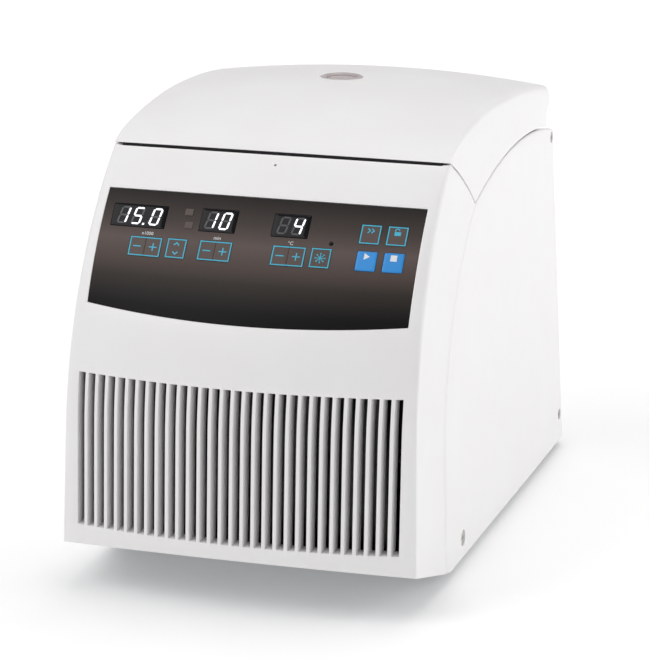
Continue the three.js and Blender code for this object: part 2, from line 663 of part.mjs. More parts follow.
// Side covers with their screw recesses, and the panel across the back
const rearHalf = halfWidthAt(archPeakZ) - rear.returnWidth;
function sideXAt(y, z) {
  const low = faceEdgeY(z) + housing.crease;
  const share = (y - low) / (rearYAt(z) - housing.rearCorner - low);
  return halfWidthAt(z) + housing.sideBulge * 4 * share * (1 - share);
}
const coverRegion = bodySkin.intersect(belowParting(0)).intersect(behindSeam(housing.seamGap))
  .subtract(chinCut);
function makeSideCover(side) {
  const half = side > 0 ? block(rearHalf, reach, -reach, reach, 0, reach)
    : block(-reach, -rearHalf, -reach, reach, 0, reach);
  const recesses = screwShares.map(([along, up, radius]) => {
    const y = along * depth;
    const z = up * lipHeight;
    const x = sideXAt(y, z);
    return rod(new THREE.Vector3(side * (x - screwRecess.depth), y, z),
      new THREE.Vector3(side * (x + overrun), y, z), radius, 16);
  });
  return coverRegion.intersect(half).subtract(union(recesses));
}
add('side_cover_left', makeSideCover(-1), finish.white);
add('side_cover_right', makeSideCover(1), finish.white);

const inletFrame = rearFrame(inlet.x, inlet.z);
function makeRearPanel() {
  const edge = rearHalf - seat;
  const sheet = body(0).subtract(body(rear.thickness, overrun)).intersect(belowParting(0))
    .intersect(block(-edge, edge, axisY, reach, baseZ, reach));
  const vents = [];
  for (let row = 0; row < rear.ventRows; row += 1) {
    for (let column = 0; column < rear.ventColumns; column += 1) {
      const x = (column - (rear.ventColumns - 1) / 2) * rear.ventPitch;
      const z = rear.ventLowZ + row * rear.ventRowPitch;
      vents.push(block(x - rear.ventWidth / 2, x + rear.ventWidth / 2, axisY, reach, z, z + rear.ventHeight));
    }
  }
  const cut = plate(inlet.bodyHalfX + inlet.cutClearance, inlet.bodyHalfZ + inlet.cutClearance, inlet.flange);
  return sheet.subtract(union(vents)).subtract(plateIn(inletFrame, cut, -overrun, overrun));
}
add('rear_panel', makeRearPanel(), finish.white);

// Tray with a raised nose and a hem all round
const floorLine = [[frontY - overrun, chinZAt(frontY - overrun)], [chinBackY, baseZ], [rearY, baseZ]];
function trayBand(rise) {
  return alongX([...floorLine, ...floorLine.map(([y, z]) => [y, z + rise]).reverse()], -reach, reach);
}
const trayHem = bodyInside.subtract(body(wall + seat + tray.thickness, 2 * overrun));
const underSlats = block(-reach, reach, -reach, seamY, grille.lowZ - grille.frame - seat, reach);
add('base_tray', bodyInside.intersect(trayBand(tray.thickness))
  .add(trayHem.intersect(trayBand(tray.hem)).subtract(underSlats)), finish.zinc);
const floorZ = baseZ + tray.thickness;

// Rubber feet, each with a hollow for its screw
for (const [name, side, y] of [
  ['foot_front_left', -1, frontY + feet.frontInset], ['foot_front_right', 1, frontY + feet.frontInset],
  ['foot_rear_left', -1, rearY - feet.rearInset], ['foot_rear_right', 1, rearY - feet.rearInset],
]) {
  const x = side * (halfWidth - feet.sideInset);
  const top = baseZ - seat;
  const taper = feet.radius - wall / 2;
  add(name, turned([[0, feet.holeDepth], [feet.holeRadius, feet.holeDepth], [feet.holeRadius, 0], [taper, 0],
    [feet.radius, top], [0, top]], x, y, 12), finish.rubber);
}

// Deck under the lid: a flat floor with a raised front rim, open for the bowl and the striker
const deckLow = deckTop - deck.thickness;
function makeDeck() {
  const riseY = lipPoint[0] + deck.riseBack;
  const rimY = lipPoint[0] + deck.rimBack;
  const rimZ = lipHeight - deck.rimDrop;
  const section = [
    [rearY, deckTop], [riseY, deckTop], [rimY, rimZ], [lipPoint[0] - overrun, rimZ],
    [lipPoint[0] - overrun, rimZ - deck.thickness], [rimY - deck.under, rimZ - deck.thickness],
    [riseY - deck.under, deckLow], [rearY, deckLow],
  ];
  const bowlHole = post(0, axisY, chamberRadius + bowl.wall + seat, deckLow - overrun, deckTop + overrun, 32);
  const slot = block(-deck.slotX, deck.slotX, slotY - deck.slotY, slotY + deck.slotY,
    deckLow - overrun, deckTop + overrun / 2);
  return alongX(section, -reach, reach).intersect(bodyInside).subtract(bowlHole).subtract(slot);
}
add('top_deck', makeDeck(), finish.white);

// Bowl with an outward flange on the deck and a collar round the shaft
const flangeTop = deckTop + seat + bowl.wall;
const bowlOuter = chamberRadius + bowl.wall;
const bowlFloorTop = bowlFloorZ + bowl.wall;
add('chamber_bowl', turned([
  [bowl.neckRadius, bowlFloorTop + bowl.neckRise], [bowl.neckRadius, bowlFloorZ],
  [bowlOuter - bowl.cornerRise, bowlFloorZ], [bowlOuter, bowlFloorZ + bowl.cornerRise],
  [bowlOuter, deckTop + seat], [bowlOuter + bowl.flangeWidth, deckTop + seat],
  [bowlOuter + bowl.flangeWidth, flangeTop], [chamberRadius, flangeTop],
  [chamberRadius, bowlFloorZ + bowl.cornerRise], [chamberRadius - bowl.cornerRise + bowl.wall, bowlFloorTop],
  [bowl.neckRadius + bowl.wall, bowlFloorTop], [bowl.neckRadius + bowl.wall, bowlFloorTop + bowl.neckRise],
], 0, axisY, 32), finish.steel);

// Seal on the bowl's flange, just under the lid
add('chamber_seal', turned([
  [chamberRadius + sealRing.inner, flangeTop + seat],
  [chamberRadius + sealRing.inner + sealRing.width, flangeTop + seat],
  [chamberRadius + sealRing.inner + sealRing.width, linerZ - seat],
  [chamberRadius + sealRing.inner, linerZ - seat],
], 0, axisY, 32), finish.rubber);

// Evaporator coil: one tube wound round the bowl, with its tail down through the insulation
const coilRadius = bowlOuter + coil.clearance + coil.tubeRadius;
function coilPath() {
  const steps = coil.turns * coil.stepsPerTurn;
  const sweep = 2 * Math.PI / coil.stepsPerTurn;
  const topZ = deckTop - coil.topDown;
  const drop = (topZ - bowlFloorZ - coil.lift) / steps;
  const place = (i) => {
    const angle = coil.endAngle - (steps - i) * sweep;
    return new THREE.Vector3(coilRadius * Math.cos(angle), axisY + coilRadius * Math.sin(angle),
      topZ - i * drop);
  };
  const turns = Array.from({ length: steps + 1 }, (_, i) => place(i));
  const lead = turns[0].clone().sub(turns[1]).setZ(0).setLength(2 * coil.tubeRadius).add(turns[0]);
  const onward = new THREE.Vector3(-Math.sin(coil.endAngle), Math.cos(coil.endAngle), 0);
  const tail = [30, 60, 90].map((turn) => turns[steps].clone()
    .addScaledVector(onward, coil.bend * Math.sin(turn * degree))
    .add(new THREE.Vector3(0, 0, -coil.bend * (1 - Math.cos(turn * degree)))));
  const end = tail[2].clone().setZ(bowlFloorZ - coil.tailLength);
  return { points: [lead, ...turns, ...tail, end], end, turnSteps: coil.stepsPerTurn };
}
function tube(points, radius, sides) {
  let across = new THREE.Vector3(0, 0, 1);
  return loft(points.map((point, i) => {
    const before = points[Math.max(i - 1, 0)];
    const after = points[Math.min(i + 1, points.length - 1)];
    const way = after.clone().sub(before).normalize();
    across = across.clone().addScaledVector(way, -across.dot(way)).normalize();
    const third = way.clone().cross(across);
    return Array.from({ length: sides }, (_, k) => {
      const angle = 2 * Math.PI * k / sides;
      return point.clone().addScaledVector(across, radius * Math.cos(angle))
        .addScaledVector(third, radius * Math.sin(angle));
    });
  }));
}
function leastGap(points, apart, radius) {
  let least = Infinity;
  for (let i = 0; i < points.length; i += 1) {
    for (let j = i + apart; j < points.length; j += 1) {
      least = Math.min(least, points[i].distanceTo(points[j]));
    }
  }
  return least - 2 * radius;
}
const winding = coilPath();
add('evaporator_coil', tube(winding.points, coil.tubeRadius, coil.sides), finish.copper);
console.log('evaporator_coil least gap to itself, mm:',
  leastGap(winding.points, winding.turnSteps / 2, coil.tubeRadius).toFixed(2));

// Insulation: a foam pot round the bowl and its coil
const foamInner = coilRadius + coil.tubeRadius + insulation.clearance;
const foamTop = deckLow - seat;
const foamLow = bowlFloorZ - seat - insulation.floorThickness;
function makeInsulation() {
  const pot = turned([
    [insulation.boreRadius, foamLow], [foamInner + insulation.wall, foamLow],
    [foamInner + insulation.wall, foamTop], [foamInner, foamTop], [foamInner, bowlFloorZ - seat],
    [insulation.boreRadius, bowlFloorZ - seat],
  ], 0, axisY, 24);
  const hole = post(winding.end.x, winding.end.y, insulation.pipeHole, foamLow - overrun, bowlFloorZ, 12);
  return pot.subtract(hole);
}
add('insulation_pot', makeInsulation(), finish.foam);

// Drive motor with cooling grooves, standing on three mounts
function makeMotor() {
  const bore = shaft.radius + motor.boreClearance;
  const flangeTopZ = motor.flangeZ + motor.flangeThickness;
  const shoulderZ = flangeTopZ + motor.canHeight;
  const capZ = shoulderZ + motor.capRise;
  const neckTopZ = rotorLowZ - motor.neckDown;
  const can = turned([
    [bore, motor.flangeZ], [motor.flangeRadius, motor.flangeZ], [motor.flangeRadius, flangeTopZ],
    [motor.radius, flangeTopZ], [motor.radius, shoulderZ], [motor.capRadius, capZ],
    [motor.neckRadius, capZ], [motor.neckRadius, neckTopZ], [bore, neckTopZ],
  ], 0, axisY, 20);
  const grooves = Array.from({ length: motor.fins }, (_, i) => {
    const angle = 2 * Math.PI * (i + 0.5) / motor.fins;
    const finHeight = motor.canHeight - 2 * motor.finWidth;
    const groove = new THREE.BoxGeometry(motor.finDepth * 2, motor.finWidth, finHeight);
    const turn = new THREE.Matrix4().makeTranslation(0, axisY, (shoulderZ + flangeTopZ) / 2)
      .multiply(new THREE.Matrix4().makeRotationZ(angle))
      .multiply(new THREE.Matrix4().makeTranslation(motor.radius, 0, 0));
    return moved(groove, turn);
  });
  return can.subtract(union(grooves));
}
add('motor_housing', makeMotor(), finish.aluminium);
for (let i = 0; i < mount.count; i += 1) {
  const angle = mount.firstAngle + 2 * Math.PI * i / mount.count;
  const low = floorZ + seat;
  const high = motor.flangeZ - seat;
  const edge = mount.radius - mount.waist;
  add(`motor_mount_${i + 1}`, turned([[0, low], [mount.radius, low], [mount.radius, low + edge],
    [mount.waist, low + 2 * edge], [mount.waist, high - 2 * edge], [mount.radius, high - edge],
    [mount.radius, high], [0, high]],
  mount.circle * Math.cos(angle), axisY + mount.circle * Math.sin(angle), 12), finish.rubber);
}

// Drive shaft with the cone that carries the rotor
add('drive_shaft', turned([
  [0, motor.flangeZ + shaft.footRise], [shaft.radius, motor.flangeZ + shaft.footRise],
  [shaft.radius, rotorLowZ - shaft.collarDown], [shaft.coneRadius, coneLowZ - shaft.collar],
  [shaft.coneRadius, coneLowZ], [shaft.radius, coneHighZ], [shaft.threadRadius, coneHighZ + shaft.collar],
  [shaft.threadRadius, shaftTopZ], [0, shaftTopZ],
], 0, axisY, 16), finish.steel);

// Rotor: a coned body with slanted bores, seated on the shaft's cone
function makeRotor() {
  const recessZ = rotorTopZ - rotor.recessDepth;
  const coneLow = shaft.coneRadius + seat;
  const coneHigh = shaft.radius + seat;
  const hub = turned([
    [coneLow, rotorLowZ], [rotor.hubRadius, rotorLowZ], [rotorRadius, skirtZ],
    [rotorRadius, skirtZ + rotor.flank], [rotorTopRadius, rotorTopZ],
    [rotor.recessRadius, rotorTopZ], [rotor.recessRadius, recessZ], [coneHigh, recessZ],
    [coneHigh, coneHighZ], [coneLow, coneLowZ],
  ], 0, axisY, rotor.bores);
  const circle = rotorTopRadius - rotor.boreInset;
  const bores = Array.from({ length: rotor.bores }, (_, i) => {
    const angle = 2 * Math.PI * (i + 0.5) / rotor.bores;
    const place = (along) => {
      const r = circle + along * Math.sin(rotor.boreAngle);
      const z = rotorTopZ - rotor.boreDrop - along * Math.cos(rotor.boreAngle);
      return new THREE.Vector3(r * Math.cos(angle), axisY + r * Math.sin(angle), z);
    };
    return rod(place(-overrun), place(rotor.boreLength), rotor.boreRadius, 6);
  });
  return hub.subtract(union(bores));
}
add('rotor_body', makeRotor(), finish.darkAluminium);
const rotorLidZ = rotorTopZ + seat;
const rotorLidRadius = rotorTopRadius - rotorLid.rim;
add('rotor_lid', turned([
  [rotorLid.hole, rotorLidZ], [rotorLidRadius, rotorLidZ], [rotorLidRadius, rotorLidZ + rotorLid.thickness],
  [rotorLid.domeRadius, rotorLidZ + rotorLid.thickness],
  [rotorLid.domeRadius - rotorLid.domeRise, rotorLidZ + rotorLid.thickness + rotorLid.domeRise],
  [rotorLid.hole, rotorLidZ + rotorLid.thickness + rotorLid.domeRise],
], 0, axisY, 32), finish.aluminium);
function makeKnob() {
  const headZ = rotorLidZ + rotorLid.thickness + rotorLid.domeRise + seat;
  const stem = rotorLid.hole - knob.stemClearance;
  const stemZ = rotorTopZ - rotor.recessDepth + seat;
  const edge = knob.gripDepth;
  const shape = turned([
    [0, shaftTopZ + seat], [knob.bore, shaftTopZ + seat], [knob.bore, stemZ], [stem, stemZ], [stem, headZ],
    [knob.radius, headZ], [knob.radius, headZ + knob.height - edge],
    [knob.radius - edge, headZ + knob.height],
    [0, headZ + knob.height],
  ], 0, axisY, 20);
  const grips = Array.from({ length: knob.grips }, (_, i) => {
    const angle = 2 * Math.PI * i / knob.grips;
    return post(knob.radius * Math.cos(angle), axisY + knob.radius * Math.sin(angle), knob.gripDepth,
      headZ - overrun / 8, headZ + knob.height + overrun, 6);
  });
  return shape.subtract(union(grips));
}
add('rotor_knob', makeKnob(), finish.blackPlastic);

// The lid's side profile as [y, z, share of the crown], and the dome made from it
const sideTopZ = lidTopHeight - lid.crown;
function domeProfile() {
  const lip = [faceEdgeY(lipHeight), lipHeight];
  const brow = [
    lip[0] + lid.lipRadius * (Math.sin(lid.lipSlope) - Math.sin(lid.lipEndSlope)),
    lip[1] + lid.lipRadius * (Math.cos(lid.lipEndSlope) - Math.cos(lid.lipSlope)),
  ];
  const top = [lidTopY, sideTopZ];
  const tail = [rearTopY, sideTopZ - lid.rearDrop];
  const run = (from, to) => {
    const rise = Math.abs(to[1] - from[1]);
    return ((to[0] - from[0]) ** 2 + rise ** 2) / (2 * rise);
  };
  const outline = [
    ...arc(lip, brow, lid.lipRadius, 2), ...arc(brow, top, run(brow, top), 3).slice(1),
    ...arc(top, tail, run(top, tail), 4).slice(1),
    [lipRearY - lidAhead.shoulder, lipHeight - lidDrop.shoulder],
    [lipRearY - lidAhead.rearFace, rearFaceZ], [rearFootY, rearFootZ], [rearFootY, foamTop - overrun],
    [lip[0] - 4 * overrun, foamTop - overrun],
  ].reverse();
  return outline;
}
function crownShare(y, z) {
  if (z < rearFaceZ + probe) return 0;
  const lipY = faceEdgeY(lipHeight);
  const share = Math.min(Math.max((y - lipY) / (lidTopY - lipY), 0), 1);
  return Math.sin(share * Math.PI / 2);
}
function insetOutline(points, distance) {
  return points.map((point, i) => {
    const before = points[(i + points.length - 1) % points.length];
    const after = points[(i + 1) % points.length];
    const normal = (from, to) => {
      const length = Math.hypot(to[0] - from[0], to[1] - from[1]);
      return [(from[1] - to[1]) / length, (to[0] - from[0]) / length];
    };
    const first = normal(before, point);
    const second = normal(point, after);
    const scale = distance / (1 + first[0] * second[0] + first[1] * second[1]);
    return [point[0] + (first[0] + second[0]) * scale, point[1] + (first[1] + second[1]) * scale];
  });
}
function dome(inset) {
  const profile = domeProfile();
  const place = insetOutline(profile, inset);
  const half = halfWidthAt(sideTopZ);
  const edge = [0, 0.15, 0.5, 1].map((share) => 1 - share * lid.edgeRound / half);
  const middle = Array.from({ length: lid.stations }, (_, i) => edge[3] * (1 - (i + 1) / lid.stations));
  const right = [1 + overrun / half, ...edge, ...middle];
  const stations = [...right.slice(0, -1).map((s) => -s), ...right.slice().reverse()];
  return loft(stations.map((station) => profile.map(([y, z], i) => {
    const share = Math.abs(station);
    const toEdge = Math.max((1 - share) * half, 0);
    const bite = Math.max(lid.edgeRound - toEdge, 0);
    const drop = lid.edgeRound - Math.sqrt(lid.edgeRound ** 2 - bite ** 2);
    const lift = crownShare(y, z) * (lid.crown * (1 - Math.min(share, 1) ** 2) - drop);
    return new THREE.Vector3(station * sideXAt(place[i][0], sideTopZ), place[i][0], place[i][1] + lift);
  })));
}
function domeTopZ(y) {
  const run = rearTopY - lidTopY;
  const radius = (run * run + lid.rearDrop ** 2) / (2 * lid.rearDrop);
  return lidTopHeight - radius + Math.sqrt(radius * radius - (y - lidTopY) ** 2);
}

// Lid cover: the dome less its inside, cut for the viewport and the hinge
const glassTop = domeTopZ(axisY) + viewport.proud;
const tubeTop = glassTop - viewport.ringDepth - seat;
function makeLidCover() {
  const outer = dome(0).intersect(body(0)).intersect(aboveParting(lid.gap));
  const inner = dome(wall).intersect(body(wall, overrun));
  const hole = post(0, axisY, viewport.ringRadius + seat, sideTopZ - overrun, lidTopHeight + overrun, 24);
  const notches = [-1, 1].map((side) => {
    const inside = hinge.x - hinge.earThickness / 2 - hinge.sideGap - hinge.armThickness - hinge.notch;
    const outside = hinge.x + hinge.earThickness / 2 + hinge.notch;
    const low = side > 0 ? inside : -outside;
    return block(low, low + outside - inside, linerRearY, reach, rearFootZ - overrun,
      hingeZ + hinge.headRadius + hinge.notch);
  });
  return outer.subtract(inner).subtract(hole).subtract(union(notches));
}
add('lid_cover', makeLidCover(), finish.white);

// Lid liner: the inner floor of the lid with its sight tube
function makeLiner() {
  const t = lid.linerThickness;
  const frontFoot = lipPoint[0] + lidBehind.linerFront;
  const frontRise = lipPoint[0] + lidBehind.linerRise;
  const lipY = lipPoint[0] + lidBehind.linerLip;
  const riseZ = lipHeight - lidDrop.linerRise;
  const section = [
    [linerRearY, linerZ + t], [frontFoot + t / 2, linerZ + t],
    [frontRise + t / 2, riseZ + t], [lipY, riseZ + t],
    [lipY, riseZ], [frontRise - t / 2, riseZ], [frontFoot - t / 2, linerZ], [linerRearY, linerZ],
  ];
  const inner = viewport.paneRadius - viewport.step;
  const sightTube = turned([
    [inner, linerZ], [viewport.ringRadius - viewport.step, linerZ],
    [viewport.ringRadius - viewport.step, tubeTop], [inner, tubeTop],
  ], 0, axisY, 24);
  const hole = post(0, axisY, inner, linerZ - overrun, linerZ + overrun, 24);
  const bossX = halfWidthAt(linerZ) - lid.bossInset;
  const bossRows = [lipPoint[0] + lidBehind.bossFront, lipRearY - lidAhead.bossRear];
  const bosses = [-1, 1].flatMap((side) => bossRows.map((y) => post(side * bossX, y,
    lid.bossRadius, linerZ + t / 2, lidTopHeight, 8)));
  return alongX(section, -reach, reach).intersect(body(wall + lid.linerGap, overrun)).subtract(hole)
    .add(sightTube).add(union(bosses).intersect(dome(wall + seat)));
}
add('lid_liner', makeLiner(), finish.white);

// Viewport: a clear ring in the cover and a pane on the sight tube
add('viewport_ring', turned([
  [viewport.paneRadius + seat, tubeTop + seat], [viewport.ringRadius, tubeTop + seat],
  [viewport.ringRadius, glassTop], [viewport.paneRadius + seat, glassTop],
], 0, axisY, 24), finish.clear);
const paneZ = tubeTop + seat;
add('viewport_pane', post(0, axisY, viewport.paneRadius, paneZ, paneZ + viewport.paneDepth, 24),
  finish.clear);

// Striker under the lid, and the lock that holds it
const footTop = linerZ - seat;
function makeStriker() {
  const low = slotY - striker.length / 2;
  const high = slotY + striker.length / 2;
  const half = striker.thickness / 2;
  const blade = block(-half, half, low, high, deckTop - striker.reachDown, footTop);
  const foot = block(-striker.footX, striker.footX, low, high, footTop - striker.footThickness, footTop);
  const eye = rod(new THREE.Vector3(-overrun, slotY, eyeZ), new THREE.Vector3(overrun, slotY, eyeZ),
    striker.holeRadius, 12);
  return blade.subtract(eye).add(foot);
}
add('lid_striker', makeStriker(), finish.steel);
const lockTop = deckLow - seat;
function makeLock() {
  const y = slotY;
  const bottom = lockTop - lock.height;
  const shell = block(-lock.halfX, lock.halfX, y - lock.halfY, y + lock.halfY, bottom, lockTop);
  const well = block(-deck.slotX + lock.wall, deck.slotX - lock.wall, y - deck.slotY + lock.wall / 2,
    y + deck.slotY - lock.wall / 2, lockTop - lock.height + lock.wall, lockTop + overrun);
  const bore = rod(new THREE.Vector3(-lock.halfX - overrun, y, eyeZ),
    new THREE.Vector3(0, y, eyeZ), lock.boltRadius + seat, 12);
  const relief = block(0, deck.slotX + lock.wall / 2, y - lock.boltRadius - seat, y + lock.boltRadius + seat,
    eyeZ - lock.boltRadius - seat, eyeZ + lock.boltRadius + seat);
  return shell.subtract(well).subtract(bore).subtract(relief);
}
add('lock_housing', makeLock(), finish.blackPlastic);
const boltTip = -striker.thickness / 2 - lock.wall / 2;
add('lock_bolt', rod(new THREE.Vector3(boltTip - lock.boltLength, slotY, eyeZ),
  new THREE.Vector3(boltTip, slotY, eyeZ), lock.boltRadius, 12), finish.steel);

// Hinge: brackets on the deck, a rod through them, and arms on the lid
function roundHead(radius, steps) {
  return Array.from({ length: steps + 1 }, (_, i) => {
    const angle = Math.PI * i / steps;
    return [hingeY + radius * Math.cos(angle), hingeZ + radius * Math.sin(angle)];
  });
}
function axle(radius, lowX, highX) {
  return rod(new THREE.Vector3(lowX, hingeY, hingeZ), new THREE.Vector3(highX, hingeY, hingeZ), radius, 16);
}
const deckSeat = deckTop + seat;
for (const [name, side] of [['hinge_bracket_left', -1], ['hinge_bracket_right', 1]]) {
  const inside = hinge.x - hinge.earThickness / 2;
  const outside = hinge.x + hinge.earThickness / 2;
  const ear = [...roundHead(hinge.headRadius, 8), [hingeY - hinge.headRadius, deckSeat],
    [hingeY + hinge.headRadius, deckSeat]];
  const at = (low, high) => (side > 0 ? [low, high] : [-high, -low]);
  const upright = alongX(ear, ...at(inside, outside));
  const [footLow, footHigh] = at(inside, inside + hinge.footWidth);
  const foot = block(footLow, footHigh, hingeY - hinge.footLength, hingeY + hinge.headRadius, deckSeat,
    deckSeat + hinge.footThickness);
  add(name, upright.add(foot).subtract(axle(hinge.rodRadius + hinge.clearance, -reach, reach)), finish.zinc);
}
for (const [name, side] of [['hinge_arm_left', -1], ['hinge_arm_right', 1]]) {
  const high = hinge.x - hinge.earThickness / 2 - hinge.sideGap;
  const low = high - hinge.armThickness;
  const top = linerZ + lid.linerThickness + seat;
  const arm = [...roundHead(hinge.headRadius, 8), [hingeY - hinge.armLength, top + hinge.armHeight],
    [hingeY - hinge.armLength, top], [hingeY + hinge.headRadius, top]];
  const bar = alongX(arm, ...(side > 0 ? [low, high] : [-high, -low]));
  add(name, bar.subtract(axle(hinge.rodRadius + hinge.clearance, -reach, reach)), finish.zinc);
}
const rodEnd = hinge.x + hinge.earThickness / 2 + hinge.rodOverhang;
add('hinge_rod', axle(hinge.rodRadius, -rodEnd, rodEnd), finish.steel);

// Condenser: fins on a core between two end plates that stand on the sloping floor
const condenserMiddle = (condenserFrontY + condenserBackY) / 2;
function makeCondenser() {
  const c = condenser;
  const middle = condenserMiddle;
  const pitch = 2 * condenserHalf / c.fins;
  const rows = Array.from({ length: c.fins }, (_, i) => -condenserHalf + (i + 0.5) * pitch);
  const half = c.finThickness / 2;
  const front = rows.flatMap((x) => [[x - half, middle - c.core / 2], [x - half, condenserFrontY],
    [x + half, condenserFrontY], [x + half, middle - c.core / 2]]);
  const back = rows.reverse().flatMap((x) => [[x + half, middle + c.core / 2], [x + half, condenserBackY],
    [x - half, condenserBackY], [x - half, middle + c.core / 2]]);
  const ends = [[-condenserHalf, middle - c.core / 2], ...front, [condenserHalf, middle - c.core / 2],
    [condenserHalf, middle + c.core / 2], ...back, [-condenserHalf, middle + c.core / 2]];
  const core = alongZ(ends, c.lowZ, c.highZ);
  const foot = tray.thickness + seat;
  const side = [
    [condenserFrontY, chinZAt(condenserFrontY) + foot], [condenserBackY, chinZAt(condenserBackY) + foot],
    [condenserBackY, c.highZ], [condenserFrontY, c.highZ]];
  const plates = [-1, 1].map((end) => {
    const low = end > 0 ? condenserHalf - c.endThickness / 2 : -condenserHalf - c.endThickness / 2;
    return alongX(side, low, low + c.endThickness);
  });
  const stub = post(c.stubX, middle, c.stubRadius, c.highZ - c.core, c.highZ + c.stubHeight, 12);
  return union([core, ...plates, stub]);
}
add('condenser', makeCondenser(), finish.aluminium);

// Condenser fan
const fanFront = condenserBackY + seat;
const fanBack = fanFront + fan.depth;
const alongFan = (radius, lowY, highY, segments) => rod(new THREE.Vector3(fan.x, lowY, fan.z),
  new THREE.Vector3(fan.x, highY, fan.z), radius, segments);
function makeFanFrame() {
  const half = fan.size / 2;
  const shell = block(fan.x - half, fan.x + half, fanFront, fanBack, fan.z - half, fan.z + half)
    .subtract(alongFan(fan.bore, fanFront - overrun, fanBack + overrun, 24));
  const plateY = fanBack - fan.plateThickness;
  const end = (half + fan.bore) / 2;
  const across = block(fan.x - end, fan.x + end, plateY, fanBack,
    fan.z - fan.strut / 2, fan.z + fan.strut / 2);
  const upright = block(fan.x - fan.strut / 2, fan.x + fan.strut / 2, plateY, fanBack,
    fan.z - end, fan.z + end);
  return union([shell, across, upright, alongFan(fan.hub, plateY, fanBack, 20)]);
}
add('fan_frame', makeFanFrame(), finish.blackPlastic);
function makeFanRotor() {
  const hubFront = fanFront + fan.plateThickness;
  const hubBack = fanBack - fan.plateThickness - seat;
  const hub = alongFan(fan.hub, hubFront, hubBack, 20);
  const blades = Array.from({ length: fan.blades }, (_, i) => {
    const inner = fan.hub - fan.plateThickness;
    const blade = new THREE.BoxGeometry(fan.bladeReach - inner, fan.bladeThickness, fan.hub);
    const turn = new THREE.Matrix4().makeTranslation(fan.x, (hubFront + hubBack) / 2, fan.z)
      .multiply(new THREE.Matrix4().makeRotationY(2 * Math.PI * i / fan.blades))
      .multiply(new THREE.Matrix4().makeTranslation((fan.bladeReach + inner) / 2, 0, 0))
      .multiply(new THREE.Matrix4().makeRotationX(fan.bladeTwist));
    return moved(blade, turn);
  });
  return union([hub, ...blades]);
}
add('fan_rotor', makeFanRotor(), finish.blackPlastic);

// Compressor on its foot plate, with stubs for the two pipes
const compressorLow = floorZ + seat;
const compressorTop = compressorLow + compressor.height;
const stubTop = compressorTop + compressor.stubHeight;
function makeCompressor() {
  const c = compressor;
  const domeHeight = c.radius * c.domeShare;
  const steps = [0, 30, 55, 75, 90].map((angle) => angle * degree);
  const lowDome = steps.slice().reverse()
    .map((a) => [c.radius * Math.cos(a), compressorLow + domeHeight * (1 - Math.sin(a))]);
  const highDome = steps.map((a) => [c.radius * Math.cos(a), compressorTop - domeHeight * (1 - Math.sin(a))]);
  const bandZ = (compressorLow + compressorTop) / 2;
  const band = [[c.radius, bandZ - c.bandHeight / 2], [c.radius + c.bandRise, bandZ - c.bandHeight / 2],
    [c.radius + c.bandRise, bandZ + c.bandHeight / 2], [c.radius, bandZ + c.bandHeight / 2]];
  const can = turned([...lowDome, ...band, ...highDome], c.x, compressorY, 16);
  const foot = block(c.x - c.plateX, c.x + c.plateX,
    compressorY - c.plateY, compressorY + c.plateY, compressorLow,
    compressorLow + c.plateThickness);
  const stubs = [c.dischargeX, c.suctionX].map((x) => post(c.x + x, compressorY, c.stubRadius,
    compressorTop - domeHeight, stubTop, 12));
  return union([can, foot, ...stubs]);
}
add('compressor', makeCompressor(), finish.blackPaint);

// Copper pipes, each face to face with what it joins
function makePipe(route) {
  const path = new THREE.CatmullRomCurve3(route.map((p) => new THREE.Vector3(...p)), false, 'centripetal');
  const ring = Array.from({ length: pipe.sides }, (_, i) => {
    const angle = 2 * Math.PI * i / pipe.sides;
    return [pipe.radius * Math.cos(angle), pipe.radius * Math.sin(angle)];
  });
  return solidOf(new THREE.ExtrudeGeometry(shapeOf(ring), { steps: pipe.steps, extrudePath: path }));
}
const pipeStart = stubTop + seat;
const condenserMouth = [condenser.stubX, condenserMiddle, condenser.highZ + condenser.stubHeight + seat];
const rise = 2 * pipe.radius;
const dischargeX = compressor.x + compressor.dischargeX;
add('discharge_pipe', makePipe([
  [dischargeX, compressorY, pipeStart], [dischargeX, compressorY, pipeStart + rise],
  [dischargeX - rise, compressorY - 2 * rise, pipeStart + 2 * rise],
  [condenserMouth[0] + rise, condenserMouth[1] + 3 * rise, pipeStart + 2 * rise],
  [condenserMouth[0], condenserMouth[1], condenserMouth[2] + rise], condenserMouth,
]), finish.copper);
const suctionX = compressor.x + compressor.suctionX;
const tailEnd = winding.end;
add('suction_pipe', makePipe([
  [suctionX, compressorY, pipeStart], [suctionX, compressorY, pipeStart + pipe.radius],
  [suctionX, compressorY + rise, pipeStart + pipe.radius + seat],
  [(suctionX + tailEnd.x) / 2, (compressorY + tailEnd.y) / 2, pipeStart + rise],
  [tailEnd.x, tailEnd.y, tailEnd.z - seat - pipe.radius], [tailEnd.x, tailEnd.y, tailEnd.z - seat],
]), finish.copper);

// Power board on the tray
function makePowerBoard() {
  const b = board;
  const base = block(b.lowX, b.highX, boardFrontY, boardBackY, b.z, b.z + b.thickness);
  const rows = [boardFrontY + b.inset, boardBackY - b.inset];
  const posts = [b.lowX + b.inset, b.highX - b.inset].flatMap((x) => rows
    .map((y) => post(x, y, b.standoff, floorZ + seat, b.z + b.thickness / 2, 8)));
  const parts = partShares.map(([alongX, alongY, wide, deep, high]) => {
    const x = b.lowX + alongX * (b.highX - b.lowX);
    const y = boardFrontY + alongY * (boardBackY - boardFrontY);
    const halfX = wide * (b.highX - b.lowX) / 2;
    const halfY = deep * (boardBackY - boardFrontY) / 2;
    const boardMiddle = b.z + b.thickness / 2;
    return block(x - halfX, x + halfX, y - halfY, y + halfY, boardMiddle, b.z + high * b.partHeight);
  });
  return union([base, ...posts, ...parts]);
}
add('power_board', makePowerBoard(), finish.boardGreen);

